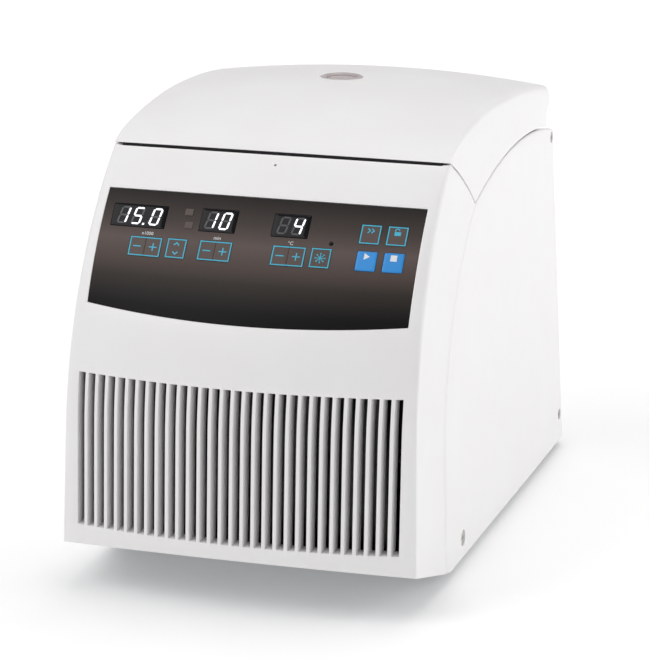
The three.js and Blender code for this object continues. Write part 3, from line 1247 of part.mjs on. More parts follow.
// Mains inlet with its socket and the rocker of the power switch
const inletAt = (u, v) => inletFrame.clone().multiply(new THREE.Matrix4().makeTranslation(u, v, 0));
function makeInlet() {
  const flange = plateIn(inletFrame, plate(inlet.flangeHalfX, inlet.flangeHalfZ, 2 * inlet.flange), seat,
    seat + inlet.flange);
  const can = plateIn(inletFrame, plate(inlet.bodyHalfX, inlet.bodyHalfZ, inlet.flange), -inlet.bodyDepth,
    seat + inlet.flange / 2);
  const socket = plateIn(inletAt(0, inlet.socketZ), plate(inlet.socketHalfX, inlet.socketHalfZ, inlet.flange),
    -inlet.socketDepth, overrun);
  const mouth = plateIn(inletAt(0, inlet.rockerZ), plate(inlet.rockerHalfX, inlet.rockerHalfZ, inlet.flange / 2),
    -inlet.rockerDepth, overrun);
  const pins = [[-inlet.pinSpread, -inlet.pinRise], [0, inlet.pinRise], [inlet.pinSpread, -inlet.pinRise]]
    .map(([u, v]) => plateIn(inletAt(u, inlet.socketZ + v), plate(inlet.pin, inlet.pin * 2, inlet.pin / 4),
      -inlet.socketDepth - inlet.flange, inlet.pinLength - inlet.socketDepth));
  return flange.add(can).subtract(socket).subtract(mouth).add(union(pins));
}
add('power_inlet', makeInlet(), finish.blackPlastic);
function makeRocker() {
  const half = inlet.rockerHalfZ - rocker.clearance - rocker.dish / 2;
  const depthBelow = rocker.depth - rocker.pivotDepth;
  const outline = [[-half, -depthBelow / 2], [-half / 2, -depthBelow], [half / 2, -depthBelow],
    [half, -depthBelow / 2], [half, rocker.pivotDepth + rocker.proud],
    [0, rocker.pivotDepth + rocker.proud - rocker.dish], [-half, rocker.pivotDepth + rocker.proud]];
  const across = inlet.rockerHalfX - rocker.clearance;
  const shape = new THREE.ExtrudeGeometry(shapeOf(outline), { depth: 2 * across, bevelEnabled: false });
  const side = new THREE.Matrix4().set(0, 0, 1, -across, 1, 0, 0, 0, 0, 1, 0, 0, 0, 0, 0, 1);
  const frame = inletAt(0, inlet.rockerZ)
    .multiply(new THREE.Matrix4().makeTranslation(0, 0, -rocker.pivotDepth))
    .multiply(new THREE.Matrix4().makeRotationX(rocker.tilt)).multiply(side);
  return moved(shape, frame);
}
add('power_switch', makeRocker(), finish.blackPlastic);

export default machine;
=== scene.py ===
import math
import bpy
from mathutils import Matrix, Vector


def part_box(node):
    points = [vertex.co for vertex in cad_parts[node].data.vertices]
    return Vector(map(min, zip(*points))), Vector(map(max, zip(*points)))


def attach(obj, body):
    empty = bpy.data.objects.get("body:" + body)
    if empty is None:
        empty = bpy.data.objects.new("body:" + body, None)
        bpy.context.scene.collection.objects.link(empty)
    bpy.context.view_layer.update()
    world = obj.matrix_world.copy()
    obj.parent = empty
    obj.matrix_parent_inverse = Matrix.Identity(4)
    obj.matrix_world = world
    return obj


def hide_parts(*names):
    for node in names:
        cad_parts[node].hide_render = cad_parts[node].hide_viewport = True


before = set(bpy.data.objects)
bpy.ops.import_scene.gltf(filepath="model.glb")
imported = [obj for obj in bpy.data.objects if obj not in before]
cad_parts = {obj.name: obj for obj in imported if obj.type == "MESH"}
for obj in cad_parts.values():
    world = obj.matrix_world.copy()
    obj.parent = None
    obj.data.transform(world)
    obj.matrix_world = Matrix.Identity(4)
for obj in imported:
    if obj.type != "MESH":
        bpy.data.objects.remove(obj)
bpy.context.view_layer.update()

print("frame loaded:", len(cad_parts), "nodes")
mm = 0.001
degree = math.pi / 180

# The housing's skin, in millimetres: face, sides, back, and the lines where covers meet
shell = {
    "half": 133.5, "frontY": -217, "rearY": 232, "baseZ": 6.5, "lipZ": 309.3, "wall": 3, "room": 0.3,
    "lean": 3.07 * degree, "bendZ": 125, "faceRadius": 253, "draft": 0.0214, "chinZ": 34, "chinBack": 91,
    "bow": 15, "bowLowZ": 165, "bowHighZ": 290, "flare": 3.5, "crease": 2.5,
    "filletLow": 1.8, "filletHigh": 6, "filletLowZ": 120, "filletHighZ": 290,
    "rearLean": 7.3 * degree, "rearCorner": 6, "returnX": 114.11,
    "seamY": -137, "seamBendZ": 100, "seamGap": 0.6,
    "lipY": -113.5, "tipY": -47, "tipZ": 266.2, "lipArc": 268, "archY": 91, "archZ": 287.5,
}


# Small helpers for shapes

def mix(low, high, share):
    return low + (high - low) * share


def smoothStep(value, low, high):
    share = min(max((value - low) / (high - low), 0), 1)
    return share * share * (3 - 2 * share)


def bezier(start, control, end, share):
    back = 1 - share
    return tuple(back * back * a + 2 * back * share * b + share * share * c
                 for a, b, c in zip(start, control, end))


# Height on an arc that peaks at (peakY, peakZ) and has dropped by so much at farY
def arcTop(y, peakY, peakZ, farY, drop):
    radius = ((farY - peakY) ** 2 + drop ** 2) / (2 * drop)
    return peakZ - radius + math.sqrt(radius ** 2 - (y - peakY) ** 2)


# Fractions from just above 0 up to 1, in equal steps
def steps(count):
    return [i / count for i in range(1, count + 1)]


bendY = shell["frontY"] + (shell["bendZ"] - shell["chinZ"]) * math.tan(shell["lean"])
faceCentreY = bendY + shell["faceRadius"] * math.cos(shell["lean"])
faceCentreZ = shell["bendZ"] - shell["faceRadius"] * math.sin(shell["lean"])


def faceEdgeY(z):
    if z <= shell["bendZ"]:
        return bendY - (shell["bendZ"] - z) * math.tan(shell["lean"])
    return faceCentreY - math.sqrt(shell["faceRadius"] ** 2 - (z - faceCentreZ) ** 2)


def halfAt(z):
    return shell["half"] - (z - shell["chinZ"]) * shell["draft"]


def faceY(x, z):
    bow = shell["bow"] * (1 - smoothStep(z, shell["bowLowZ"], shell["bowHighZ"]))
    return faceEdgeY(z) - bow * (1 - (x / (halfAt(z) - shell["crease"])) ** 2)


def rearYAt(z):
    return shell["rearY"] - (z - shell["baseZ"]) * math.tan(shell["rearLean"])


def sideX(y, z):
    share = smoothStep(y, faceEdgeY(z) + shell["crease"], rearYAt(z) - shell["rearCorner"])
    return halfAt(z) + shell["flare"] * share


# Legs of the rounded edge between face and side: crisp low down, softer towards the lid
def filletAt(z):
    share = smoothStep(z, shell["filletLowZ"], shell["filletHighZ"])
    return mix(shell["filletLow"], shell["filletHigh"], share)


def chinZ(y):
    start = shell["frontY"] + shell["chinBack"]
    return shell["baseZ"] + max(start - y, 0) * (shell["chinZ"] - shell["baseZ"]) / shell["chinBack"]


# Height of the line along which the lid leaves the housing
chordY, chordZ = shell["tipY"] - shell["lipY"], shell["tipZ"] - shell["lipZ"]
chord = math.hypot(chordY, chordZ)
rise = math.sqrt(shell["lipArc"] ** 2 - chord * chord / 4)
lipArcY = (shell["lipY"] + shell["tipY"]) / 2 + rise * chordZ / chord
lipArcZ = (shell["lipZ"] + shell["tipZ"]) / 2 - rise * chordY / chord


def partingZ(y):
    if y <= shell["lipY"]:
        return shell["lipZ"]
    if y <= shell["tipY"]:
        return lipArcZ + math.sqrt(shell["lipArc"] ** 2 - (y - lipArcY) ** 2)
    return arcTop(y, shell["archY"], shell["archZ"], shell["tipY"], shell["archZ"] - shell["tipZ"])


# The seam between bezel and side cover: upright low down, then an arc back to the tip of the lid
def seamYAt(z):
    if z <= shell["seamBendZ"]:
        return shell["seamY"]
    return -arcTop(z, shell["seamBendZ"], -shell["seamY"], shell["tipZ"], shell["tipY"] - shell["seamY"])


# A place on the face, lifted off it by so much
def onFace(x, z, lift):
    step = 0.5
    here = Vector((x, faceY(x, z), z))
    right = Vector((x + step, faceY(x + step, z), z)) - here
    up = Vector((x, faceY(x, z + step), z + step)) - here
    return here + right.cross(up).normalized() * lift


def faceSlope(z):
    return math.cos(math.atan2(faceY(0, z + 1) - faceY(0, z), 1))


# Small helpers for Blender

limits = {"weld": 0.00001, "flat": 0.5 * degree, "smooth": 35 * degree}


def pick(*objects):
    bpy.ops.object.select_all(action="DESELECT")
    for obj in objects:
        obj.select_set(True)
    bpy.context.view_layer.objects.active = objects[0]


# Runs one of the operators that add something, with nothing else selected
def added(operator, **settings):
    bpy.ops.object.select_all(action="DESELECT")
    operator(**settings)
    return bpy.context.object


# Runs each action on the whole mesh
def editAll(obj, *actions):
    pick(obj)
    bpy.ops.object.mode_set(mode="EDIT")
    for action in actions:
        bpy.ops.mesh.select_all(action="SELECT")
        action()
    bpy.ops.object.mode_set(mode="OBJECT")


def weld():
    bpy.ops.mesh.remove_doubles(threshold=limits["weld"])
    bpy.ops.mesh.delete_loose()


def faceOutwards():
    bpy.ops.mesh.normals_make_consistent(inside=False)


# Runs each action on the faces whose middle, in millimetres, passes the test
def editFaces(obj, test, *actions):
    pick(obj)
    bpy.context.tool_settings.mesh_select_mode = (False, False, True)
    bpy.ops.object.mode_set(mode="EDIT")
    bpy.ops.mesh.select_all(action="DESELECT")
    bpy.ops.object.mode_set(mode="OBJECT")
    for face in obj.data.polygons:
        face.select = test(face.center / mm)
    bpy.ops.object.mode_set(mode="EDIT")
    for action in actions:
        action()
    bpy.ops.object.mode_set(mode="OBJECT")


def applyModifier(obj, kind, **settings):
    modifier = obj.modifiers.new(kind.title(), kind)
    for key, value in settings.items():
        setattr(modifier, key, value)
    pick(obj)
    bpy.ops.object.modifier_apply(modifier=modifier.name)


# Gives a skin its wall, then lets each inner point be placed anew from its outer one
def thicken(obj, place, **settings):
    skin = [vertex.co.copy() for vertex in obj.data.vertices]
    applyModifier(obj, "SOLIDIFY", thickness=shell["wall"] * mm, offset=-1, **settings)
    vertices, count = obj.data.vertices, len(skin)
    shift = 0 if (vertices[0].co - skin[0]).length > (vertices[count].co - skin[0]).length else count
    for index, outer in enumerate(skin):
        inner = vertices[index + shift]
        inner.co = place(outer / mm, inner.co / mm) * mm


def softEdges(obj, width, segments=2, angle=35):
    applyModifier(obj, "BEVEL", width=width * mm, segments=segments, limit_method="ANGLE",
                  angle_limit=angle * degree, miter_outer="MITER_ARC")


def cutWith(obj, *cutters):
    pick(*cutters)
    if len(cutters) > 1:
        bpy.ops.object.join()
    applyModifier(obj, "BOOLEAN", operation="DIFFERENCE", object=cutters[0], solver="EXACT")
    bpy.data.objects.remove(cutters[0])


def joined(name, pieces):
    pick(*pieces)
    if len(pieces) > 1:
        bpy.ops.object.join()
    pieces[0].name = name
    return pieces[0]


# A grid primitive whose points are placed one by one, in millimetres
def gridPiece(name, columns, rows, place):
    obj = added(bpy.ops.mesh.primitive_grid_add, x_subdivisions=columns - 1, y_subdivisions=rows - 1, size=2)
    obj.name = name
    for vertex in obj.data.vertices:
        column = round((vertex.co.x + 1) / 2 * (columns - 1))
        row = round((vertex.co.y + 1) / 2 * (rows - 1))
        vertex.co = Vector(place(column, row)) * mm
    return obj


# A closed profile of [radius, height] spun round an upright axis
def spunPiece(name, profile, x, y, segments=96):
    obj = added(bpy.ops.mesh.primitive_circle_add, vertices=len(profile), fill_type="NOTHING")
    obj.name = name
    for vertex, (radius, z) in zip(obj.data.vertices, profile):
        vertex.co = Vector((x + radius, y, z)) * mm

    turn = lambda: bpy.ops.mesh.spin(
        steps=segments, angle=2 * math.pi, center=(x * mm, y * mm, 0), axis=(0, 0, 1))
    editAll(obj, turn, weld, faceOutwards)
    return obj


def post(x, y, z, radius, height, sides=32):
    return added(bpy.ops.mesh.primitive_cylinder_add, vertices=sides, radius=radius * mm, depth=height * mm,
                 location=(x * mm, y * mm, z * mm))


def block(low, high):
    return added(bpy.ops.mesh.primitive_cube_add, size=1,
                 location=[(a + b) / 2 * mm for a, b in zip(low, high)],
                 scale=[(b - a) * mm for a, b in zip(low, high)])


# The lowest and the highest level of a node, in millimetres
def levels(node):
    return [corner.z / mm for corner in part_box(node)]


# A copy of a node's mesh, kept inside the skin, with its triangles merged and its edges softened
def refined(node, name, width, segments=2, angle=30):
    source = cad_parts[node]
    obj = source.copy()
    obj.data = source.data.copy()
    obj.name = name
    obj.parent = None
    bpy.context.collection.objects.link(obj)
    obj.hide_render = False
    flat = lambda: bpy.ops.mesh.dissolve_limited(angle_limit=limits["flat"])
    editAll(obj, weld, faceOutwards, flat)
    for vertex in obj.data.vertices:
        x, y, z = vertex.co / mm
        reach = sideX(y, z) - shell["wall"] - shell["room"]
        vertex.co.x = min(max(x, -reach), reach) * mm
    softEdges(obj, width, segments, angle)
    return obj


def finishPiece(obj, material, body, slot, *nodes):
    pick(obj)
    bpy.ops.object.transform_apply(location=True, rotation=True, scale=True)
    obj.data.materials.clear()
    obj.data.materials.append(material)
    bpy.ops.object.shade_smooth_by_angle(angle=limits["smooth"])
    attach(obj, body)
    if nodes:
        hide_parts(*nodes)
    return obj


# Materials: what each finish really is, and what that gives the eye

def colour(text, alpha=1):
    channels = [int(text[i:i + 2], 16) / 255 for i in (1, 3, 5)]
    linear = [c / 12.92 if c <= 0.04045 else ((c + 0.055) / 1.055) ** 2.4 for c in channels]
    return (*linear, alpha)


def addNode(material, kind, settings=None, links=None):
    node = material.node_tree.nodes.new("ShaderNode" + kind)
    for key, value in (settings or {}).items():
        if key in node.inputs.keys():
            node.inputs[key].default_value = value
        else:
            setattr(node, key, value)
    for key, source in (links or {}).items():
        material.node_tree.links.new(source, node.inputs[key])
    return node


# A new material, and the place on the object that its textures are laid out by
def newMaterial(name):
    material = bpy.data.materials.new(name)
    material.use_nodes = True
    return material, addNode(material, "TexCoord").outputs["Object"]


def surface(material, settings, links):
    shader = material.node_tree.nodes["Principled BSDF"]
    for key, value in settings.items():
        shader.inputs[key].default_value = value
    for key, source in links.items():
        material.node_tree.links.new(source, shader.inputs[key])


def rampStops(node, *stops):
    ramp = node.color_ramp
    while len(ramp.elements) < len(stops):
        ramp.elements.new(0.5)
    for element, (place, value) in zip(ramp.elements, stops):
        element.position = place
        element.color = value


# A fine raised grain: its size, strength and height, the lengths in millimetres
def relief(material, place, size, strength, height=0.05):
    fine = addNode(material, "TexNoise", {"Scale": 1 / (size * mm), "Detail": 2.0}, {"Vector": place})
    bump = addNode(material, "Bump", {"Strength": strength, "Distance": height * mm},
                   {"Height": fine.outputs["Fac"]})
    return bump.outputs["Normal"]


# Cloudy tone, uneven gloss and a raised grain, which most moulded or coated surfaces share.
# The grain and the patches of darker tone are sized in millimetres.
def grained(name, tone, darker, roughness, grain, lift, metallic=0.0, patch=45, uneven=0.05, **extra):
    material, place = newMaterial(name)
    cloud = addNode(material, "TexNoise", {"Scale": 1 / (patch * mm), "Detail": 3.0}, {"Vector": place})
    ramp = addNode(material, "ValToRGB", None, {"Fac": cloud.outputs["Fac"]})
    rampStops(ramp, (0.3, colour(darker)), (0.7, colour(tone)))
    gloss = addNode(material, "MapRange",
                    {"To Min": roughness - uneven, "To Max": roughness + uneven},
                    {"Value": cloud.outputs["Fac"]})
    surface(material, {"Metallic": metallic, **extra},
            {"Base Color": ramp.outputs["Color"], "Roughness": gloss.outputs["Result"],
             "Normal": relief(material, place, grain, lift)})
    return material


# Moulded white ABS from a spark-eroded tool: soft broad gloss over a grain of about 0.8 mm
mouldedWhite = grained("mouldedWhite", "#F1F0F0", "#EFEDED", roughness=0.40, grain=0.8, lift=0.12)

# White powder coat on sheet steel: the same white with the slow ripple of melted powder
powderWhite = grained("powderWhite", "#F2F1F1", "#F0EEEE", roughness=0.38, grain=1.6, lift=0.14)

# Rubber, moulded and dusty: almost no gloss
mouldedRubber = grained("mouldedRubber", "#2A2B2D", "#202123", roughness=0.82, grain=0.6, lift=0.4)

# Black glass-filled nylon of the small hidden mouldings: dull with a dry grain
mouldedBlack = grained("mouldedBlack", "#242528", "#1D1E20", roughness=0.52, grain=0.5, lift=0.3)

# Black enamel baked on steel: glossy, slightly uneven
bakedEnamel = grained("bakedEnamel", "#1B1C1E", "#141516", roughness=0.34, grain=2.5, lift=0.2)

# Aluminium die castings: grey skin, flow marks and a sandy grain
castAluminium = grained("castAluminium", "#A9ACAE", "#94979A",
                        roughness=0.42, grain=0.9, lift=0.45, metallic=1.0, patch=20)

# Turned aluminium, bead blasted and dark anodised: deep grey with a fine sparkle
anodisedDark = grained("anodisedDark", "#4A4D51", "#3E4145",
                       roughness=0.36, grain=0.35, lift=0.35, metallic=0.9, patch=30)

# Drawn copper tube, handled and slightly tarnished
drawnCopper = grained("drawnCopper", "#C0764A", "#9A5A38",
                      roughness=0.34, grain=3.0, lift=0.1, metallic=1.0, patch=18, uneven=0.1)

# Closed-cell foam, cut from a block: matt with cells of about 1.5 mm
cutFoam = grained("cutFoam", "#D9D0B0", "#C8BE9C", roughness=0.9, grain=1.5, lift=0.9)

# Circuit board under green lacquer: glossy with darker copper areas
lacquerGreen = grained("lacquerGreen", "#245F40", "#1A4A31", roughness=0.3, grain=0.7, lift=0.3, patch=8)

# Key caps: dark film over hard coat, satin
keyFilm = grained("keyFilm", "#5B504D", "#564B48",
                  roughness=0.34, grain=0.4, lift=0.08, **{"Specular IOR Level": 0.2})

# Blue key caps: printed from behind, so the colour is clean and the surface satin
keyBlue = grained("keyBlue", "#258FDC", "#2088D5", roughness=0.34, grain=0.4, lift=0.08)

# Screw heads, nickel plated: pale and fairly bright, with tool marks
nickelPlate = grained("nickelPlate", "#DEDAD8", "#C9C4C2",
                      roughness=0.3, grain=0.6, lift=0.2, metallic=1.0, patch=5)

# Inks on film: thin, flat and even
tealInk = grained("tealInk", "#3CB4D2", "#36AECC", roughness=0.45, grain=0.3, lift=0.05)
paleInk = grained("paleInk", "#E9EBEC", "#E0E2E4", roughness=0.45, grain=0.3, lift=0.05)

# Segments that are off: dark grey bars that show faintly behind the window
segmentOff = grained("segmentOff", "#3D3D40", "#38383B", roughness=0.3, grain=0.5, lift=0.05)

# Control panel film: satin polyester over print. Its colour runs from dark at the foot to a lighter brown
# across the middle and back to dark at the top: a painted reflection of the studio light on the satin film
panelFilmPaintedReflection, place = newMaterial("panelFilmPaintedReflection")
axes = addNode(panelFilmPaintedReflection, "SeparateXYZ", None, {"Vector": place})
height = addNode(panelFilmPaintedReflection, "MapRange", {"From Min": 205 * mm, "From Max": 284 * mm},
                 {"Value": axes.outputs["Z"]})
# This ramp paints the film's reflection into its colour, by height
ramp = addNode(panelFilmPaintedReflection, "ValToRGB", None, {"Fac": height.outputs["Result"]})
rampStops(ramp, (0.0, colour("#151414")), (0.1, colour("#191818")), (0.2, colour("#282524")),
          (0.32, colour("#37322F")), (0.44, colour("#504542")), (0.62, colour("#605451")),
          (0.78, colour("#463E3B")), (1.0, colour("#242120")))
surface(panelFilmPaintedReflection, {"Roughness": 0.36, "Specular IOR Level": 0.1},
        {"Base Color": ramp.outputs["Color"], "Normal": relief(panelFilmPaintedReflection, place, 0.5, 0.06)})

# Display window: tinted acrylic, polished, so it is nearly black with sharp reflections
tintedWindow, place = newMaterial("tintedWindow")
smear = addNode(tintedWindow, "TexNoise", {"Scale": 1 / (9 * mm), "Detail": 4.0}, {"Vector": place})
gloss = addNode(tintedWindow, "MapRange", {"To Min": 0.1, "To Max": 0.2}, {"Value": smear.outputs["Fac"]})
surface(tintedWindow, {"Base Color": colour("#0E0E12"), "Specular IOR Level": 0.15},
        {"Roughness": gloss.outputs["Result"]})

# Segments that are on: white light through a diffuser, brightest in the middle
segmentOn, place = newMaterial("segmentOn")
cells = addNode(segmentOn, "TexNoise", {"Scale": 1 / (2.5 * mm)}, {"Vector": place})
glow = addNode(segmentOn, "MapRange", {"To Min": 0.75, "To Max": 1.0}, {"Value": cells.outputs["Fac"]})
surface(segmentOn, {"Base Color": colour("#F2F4F6"), "Roughness": 0.3, "Emission Color": colour("#F4F7FA")},
        {"Emission Strength": glow.outputs["Result"]})

# Clear moulded polycarbonate: it lets light through and has a faint warm tint
clearPolycarbonate, place = newMaterial("clearPolycarbonate")
surface(clearPolycarbonate,
        {"Base Color": colour("#F3E9E9"), "Roughness": 0.12, "IOR": 1.58, "Transmission Weight": 0.55},
        {"Normal": relief(clearPolycarbonate, place, 6, 0.05, 0.1)})

# Stainless steel, deep drawn or turned: bright, with fine scratches that run round or along
stainlessSteel, place = newMaterial("stainlessSteel")
drawn = addNode(stainlessSteel, "Mapping", {"Scale": (1.0, 1.0, 30.0)}, {"Vector": place})
lines = addNode(stainlessSteel, "TexNoise", {"Scale": 1 / (14 * mm), "Detail": 6.0},
                {"Vector": drawn.outputs["Vector"]})
gloss = addNode(stainlessSteel, "MapRange", {"To Min": 0.2, "To Max": 0.38}, {"Value": lines.outputs["Fac"]})
ramp = addNode(stainlessSteel, "ValToRGB", None, {"Fac": lines.outputs["Fac"]})
rampStops(ramp, (0.2, colour("#B9BCBE")), (0.8, colour("#D4D6D7")))
bump = addNode(stainlessSteel, "Bump", {"Strength": 0.15, "Distance": 0.03 * mm},
               {"Height": lines.outputs["Fac"]})
surface(stainlessSteel, {"Metallic": 1.0},
        {"Base Color": ramp.outputs["Color"], "Roughness": gloss.outputs["Result"],
         "Normal": bump.outputs["Normal"]})

# Zinc-plated sheet: bluish grey with crystals of about 6 mm
zincPlate, place = newMaterial("zincPlate")
crystals = addNode(zincPlate, "TexVoronoi", {"Scale": 1 / (6 * mm)}, {"Vector": place})
tone = addNode(zincPlate, "SeparateXYZ", None, {"Vector": crystals.outputs["Color"]})
ramp = addNode(zincPlate, "ValToRGB", None, {"Fac": tone.outputs["X"]})
rampStops(ramp, (0.0, colour("#A9ADB0")), (1.0, colour("#BEC2C4")))
gloss = addNode(zincPlate, "MapRange", {"To Min": 0.32, "To Max": 0.48}, {"Value": tone.outputs["X"]})
surface(zincPlate, {"Metallic": 1.0},
        {"Base Color": ramp.outputs["Color"], "Roughness": gloss.outputs["Result"]})
print("materials made")

# Front bezel: one grid wrapped over the face and round to the seams, then cut and thickened
bezel = {
    "slots": 30, "pitch": 8.16, "slotWidth": 5.55, "slotLowZ": 49.5, "slotHighZ": 162, "slatDepth": 12.5,
    "slatMargin": 1, "backRound": 0.5, "slack": 0.01,
    "panelHalf": 119.8, "panelLowZ": 209.7, "panelHighZ": 283.8, "smile": 5.3, "ledge": 5, "recess": 1.9,
    "recessLean": 0.83, "sideColumns": 8, "filletColumns": 5, "edge": 0.45,
    "releaseRadius": 1.1, "releaseZ": 303.5, "releaseDepth": 20, "releaseTilt": 50 * degree,
    "chinRow": 44, "slotRows": (*range(60, 133, 12), 142, 152), "browRows": range(170, 203, 8),
    "panelRows": range(223, 272, 8), "lipRows": (288, 293, 298, 303, 306),
}


def smileSag(x):
    return -bezel["smile"] * max(0, 1 - (x / bezel["panelHalf"]) ** 2)


def makeBezel():
    slotCentres = [(i - (bezel["slots"] - 1) / 2) * bezel["pitch"] for i in range(bezel["slots"])]
    halfSlot = bezel["slotWidth"] / 2
    inner = bezel["panelHalf"] - bezel["ledge"]
    faceX = [x + side * halfSlot for x in slotCentres for side in (-1, 1)]
    faceX = sorted(faceX + [-bezel["panelHalf"], -inner, inner, bezel["panelHalf"]])
    ledgeLow, ledgeHigh = bezel["panelLowZ"] + bezel["ledge"], bezel["panelHighZ"] - bezel["ledge"]
    rows = [None, bezel["chinRow"], bezel["slotLowZ"], *bezel["slotRows"], bezel["slotHighZ"],
            *bezel["browRows"], bezel["panelLowZ"], ledgeLow, *bezel["panelRows"], ledgeHigh,
            bezel["panelHighZ"], *bezel["lipRows"], shell["lipZ"]]
    sides, rounds = bezel["sideColumns"], bezel["filletColumns"]
    columns = len(faceX) + 2 * (sides + rounds)

    # Rows bend with the lower edge of the panel, most at the edge itself
    def warped(z, x):
        low, middle, high = bezel["slotHighZ"], bezel["panelLowZ"], bezel["panelHighZ"]
        if z is None or not low < z < high:
            return z
        share = (z - low) / (middle - low) if z <= middle else (high - z) / (high - middle)
        return z + smileSag(x) * share

    # The lowest row, which is None, follows the chin, whose height depends on the point itself
    def onSkin(z, solve):
        if z is not None:
            return solve(z)
        z = shell["chinZ"]
        for _ in range(4):  # settles on the chin
            point = solve(z)
            z = chinZ(point[1])
        return solve(z)

    creaseLow = onSkin(None, lambda z: (0, faceEdgeY(z) + filletAt(z), z))[2]

    def roundPoint(share, z):
        half, legs = halfAt(z), filletAt(z)
        startX = half - legs
        slope = faceY(startX, z) - faceY(startX - 1, z)
        start = (startX, faceY(startX, z))
        endY = faceEdgeY(z) + legs
        end = (sideX(endY, z), endY)
        x, y = bezier(start, (half, start[1] + slope * legs), end, share)
        return x, y, z

    def sidePoint(share, z):
        up = (z - creaseLow) / (shell["lipZ"] - creaseLow)
        seamZ = mix(chinZ(shell["seamY"]), shell["tipZ"], up)
        creaseY = faceEdgeY(z) + filletAt(z)
        y, height = mix(creaseY, seamYAt(seamZ), share), mix(z, seamZ, share)
        topY = mix(faceEdgeY(shell["lipZ"]) + shell["filletHigh"], shell["tipY"], share)
        height += (partingZ(topY) - mix(shell["lipZ"], shell["tipZ"], share)) * up ** 3
        return sideX(y, height), y, height

    def place(column, row):
        z = rows[row]
        mirror = column < sides + rounds
        fromEnd = column if mirror else columns - 1 - column
        sign = -1 if mirror else 1
        if sides + rounds <= column < columns - sides - rounds:
            x = faceX[column - sides - rounds]
            return onSkin(warped(z, x), lambda height: (x, faceY(x, height), height))
        if fromEnd >= sides:
            share = 1 - (fromEnd - sides) / rounds
            x, y, height = onSkin(z, lambda level: roundPoint(share, level))
            return sign * x, y, height
        share = 1 - fromEnd / sides
        x, y, height = sidePoint(share, creaseLow if z is None else z)
        return sign * x, y, height

    obj = gridPiece("bezelShell", columns, len(rows), place)

    def inSlot(point):
        if not bezel["slotLowZ"] < point.z < bezel["slotHighZ"]:
            return False
        return any(abs(point.x - x) < halfSlot for x in slotCentres)

    def inPanel(point, inset):
        if abs(point.x) > bezel["panelHalf"] - inset:
            return False
        low, high = bezel["panelLowZ"] + inset, bezel["panelHighZ"] - inset
        return warped(low, point.x) < point.z < high

    margin, slack = bezel["slatMargin"], bezel["slack"]
    reach = slotCentres[-1] + halfSlot + margin

    # Slats run straight back; behind the edge to the side the wall turns with a small radius
    def innerPlace(outer, inner):
        x, y, z = outer
        if abs(x) < reach and bezel["slotLowZ"] - margin < z < bezel["slotHighZ"] + margin:
            return Vector((x, y + bezel["slatDepth"], z))
        legs = filletAt(z)
        if abs(x) > halfAt(z) - legs - slack and y < faceEdgeY(z) + legs + slack:
            corner = Vector((math.copysign(halfAt(z), x), faceEdgeY(z), z))
            back = Vector((-math.copysign(shell["wall"], x), shell["wall"], 0))
            return corner + back + (outer - corner) * bezel["backRound"]
        return inner

    remove = lambda: bpy.ops.mesh.delete(type="FACE")
    sink = lambda: bpy.ops.mesh.extrude_region_move(
        TRANSFORM_OT_translate={"value": (0, bezel["recess"] * mm / bezel["recessLean"], 0)})
    editFaces(obj, inSlot, remove)
    editFaces(obj, lambda point: inPanel(point, 0), sink)
    editFaces(obj, lambda point: inPanel(point, bezel["ledge"]), remove)
    thicken(obj, innerPlace, use_even_offset=True)
    softEdges(obj, bezel["edge"])
    z = bezel["releaseZ"]
    hole = post(0, faceY(0, z), z, bezel["releaseRadius"], bezel["releaseDepth"])
    hole.rotation_euler = (bezel["releaseTilt"], 0, 0)
    cutWith(obj, hole)
    return finishPiece(obj, mouldedWhite, "housing", "white_plastic", "front_bezel")


makeBezel()
print("front bezel made")


# Side covers: a flared skin from the seam to the rear corner, with recesses for the screws
cover = {
    "columns": 30, "rows": 26, "corner": 5, "returns": 3, "edge": 1.3, "recess": 2, "drill": 20,
    "screws": ((-90.5, 22.3, 6.2), (213.9, 29.4, 4.7), (187, 270, 4.7)), "headDrop": 0.5, "headGap": 0.7,
}
screw = {"seat": 0.1, "rim": 0.6, "dome": 0.2, "domeReach": 0.8, "slotHalf": 0.45, "slotReach": 0.55,
         "slotDepth": 0.9}


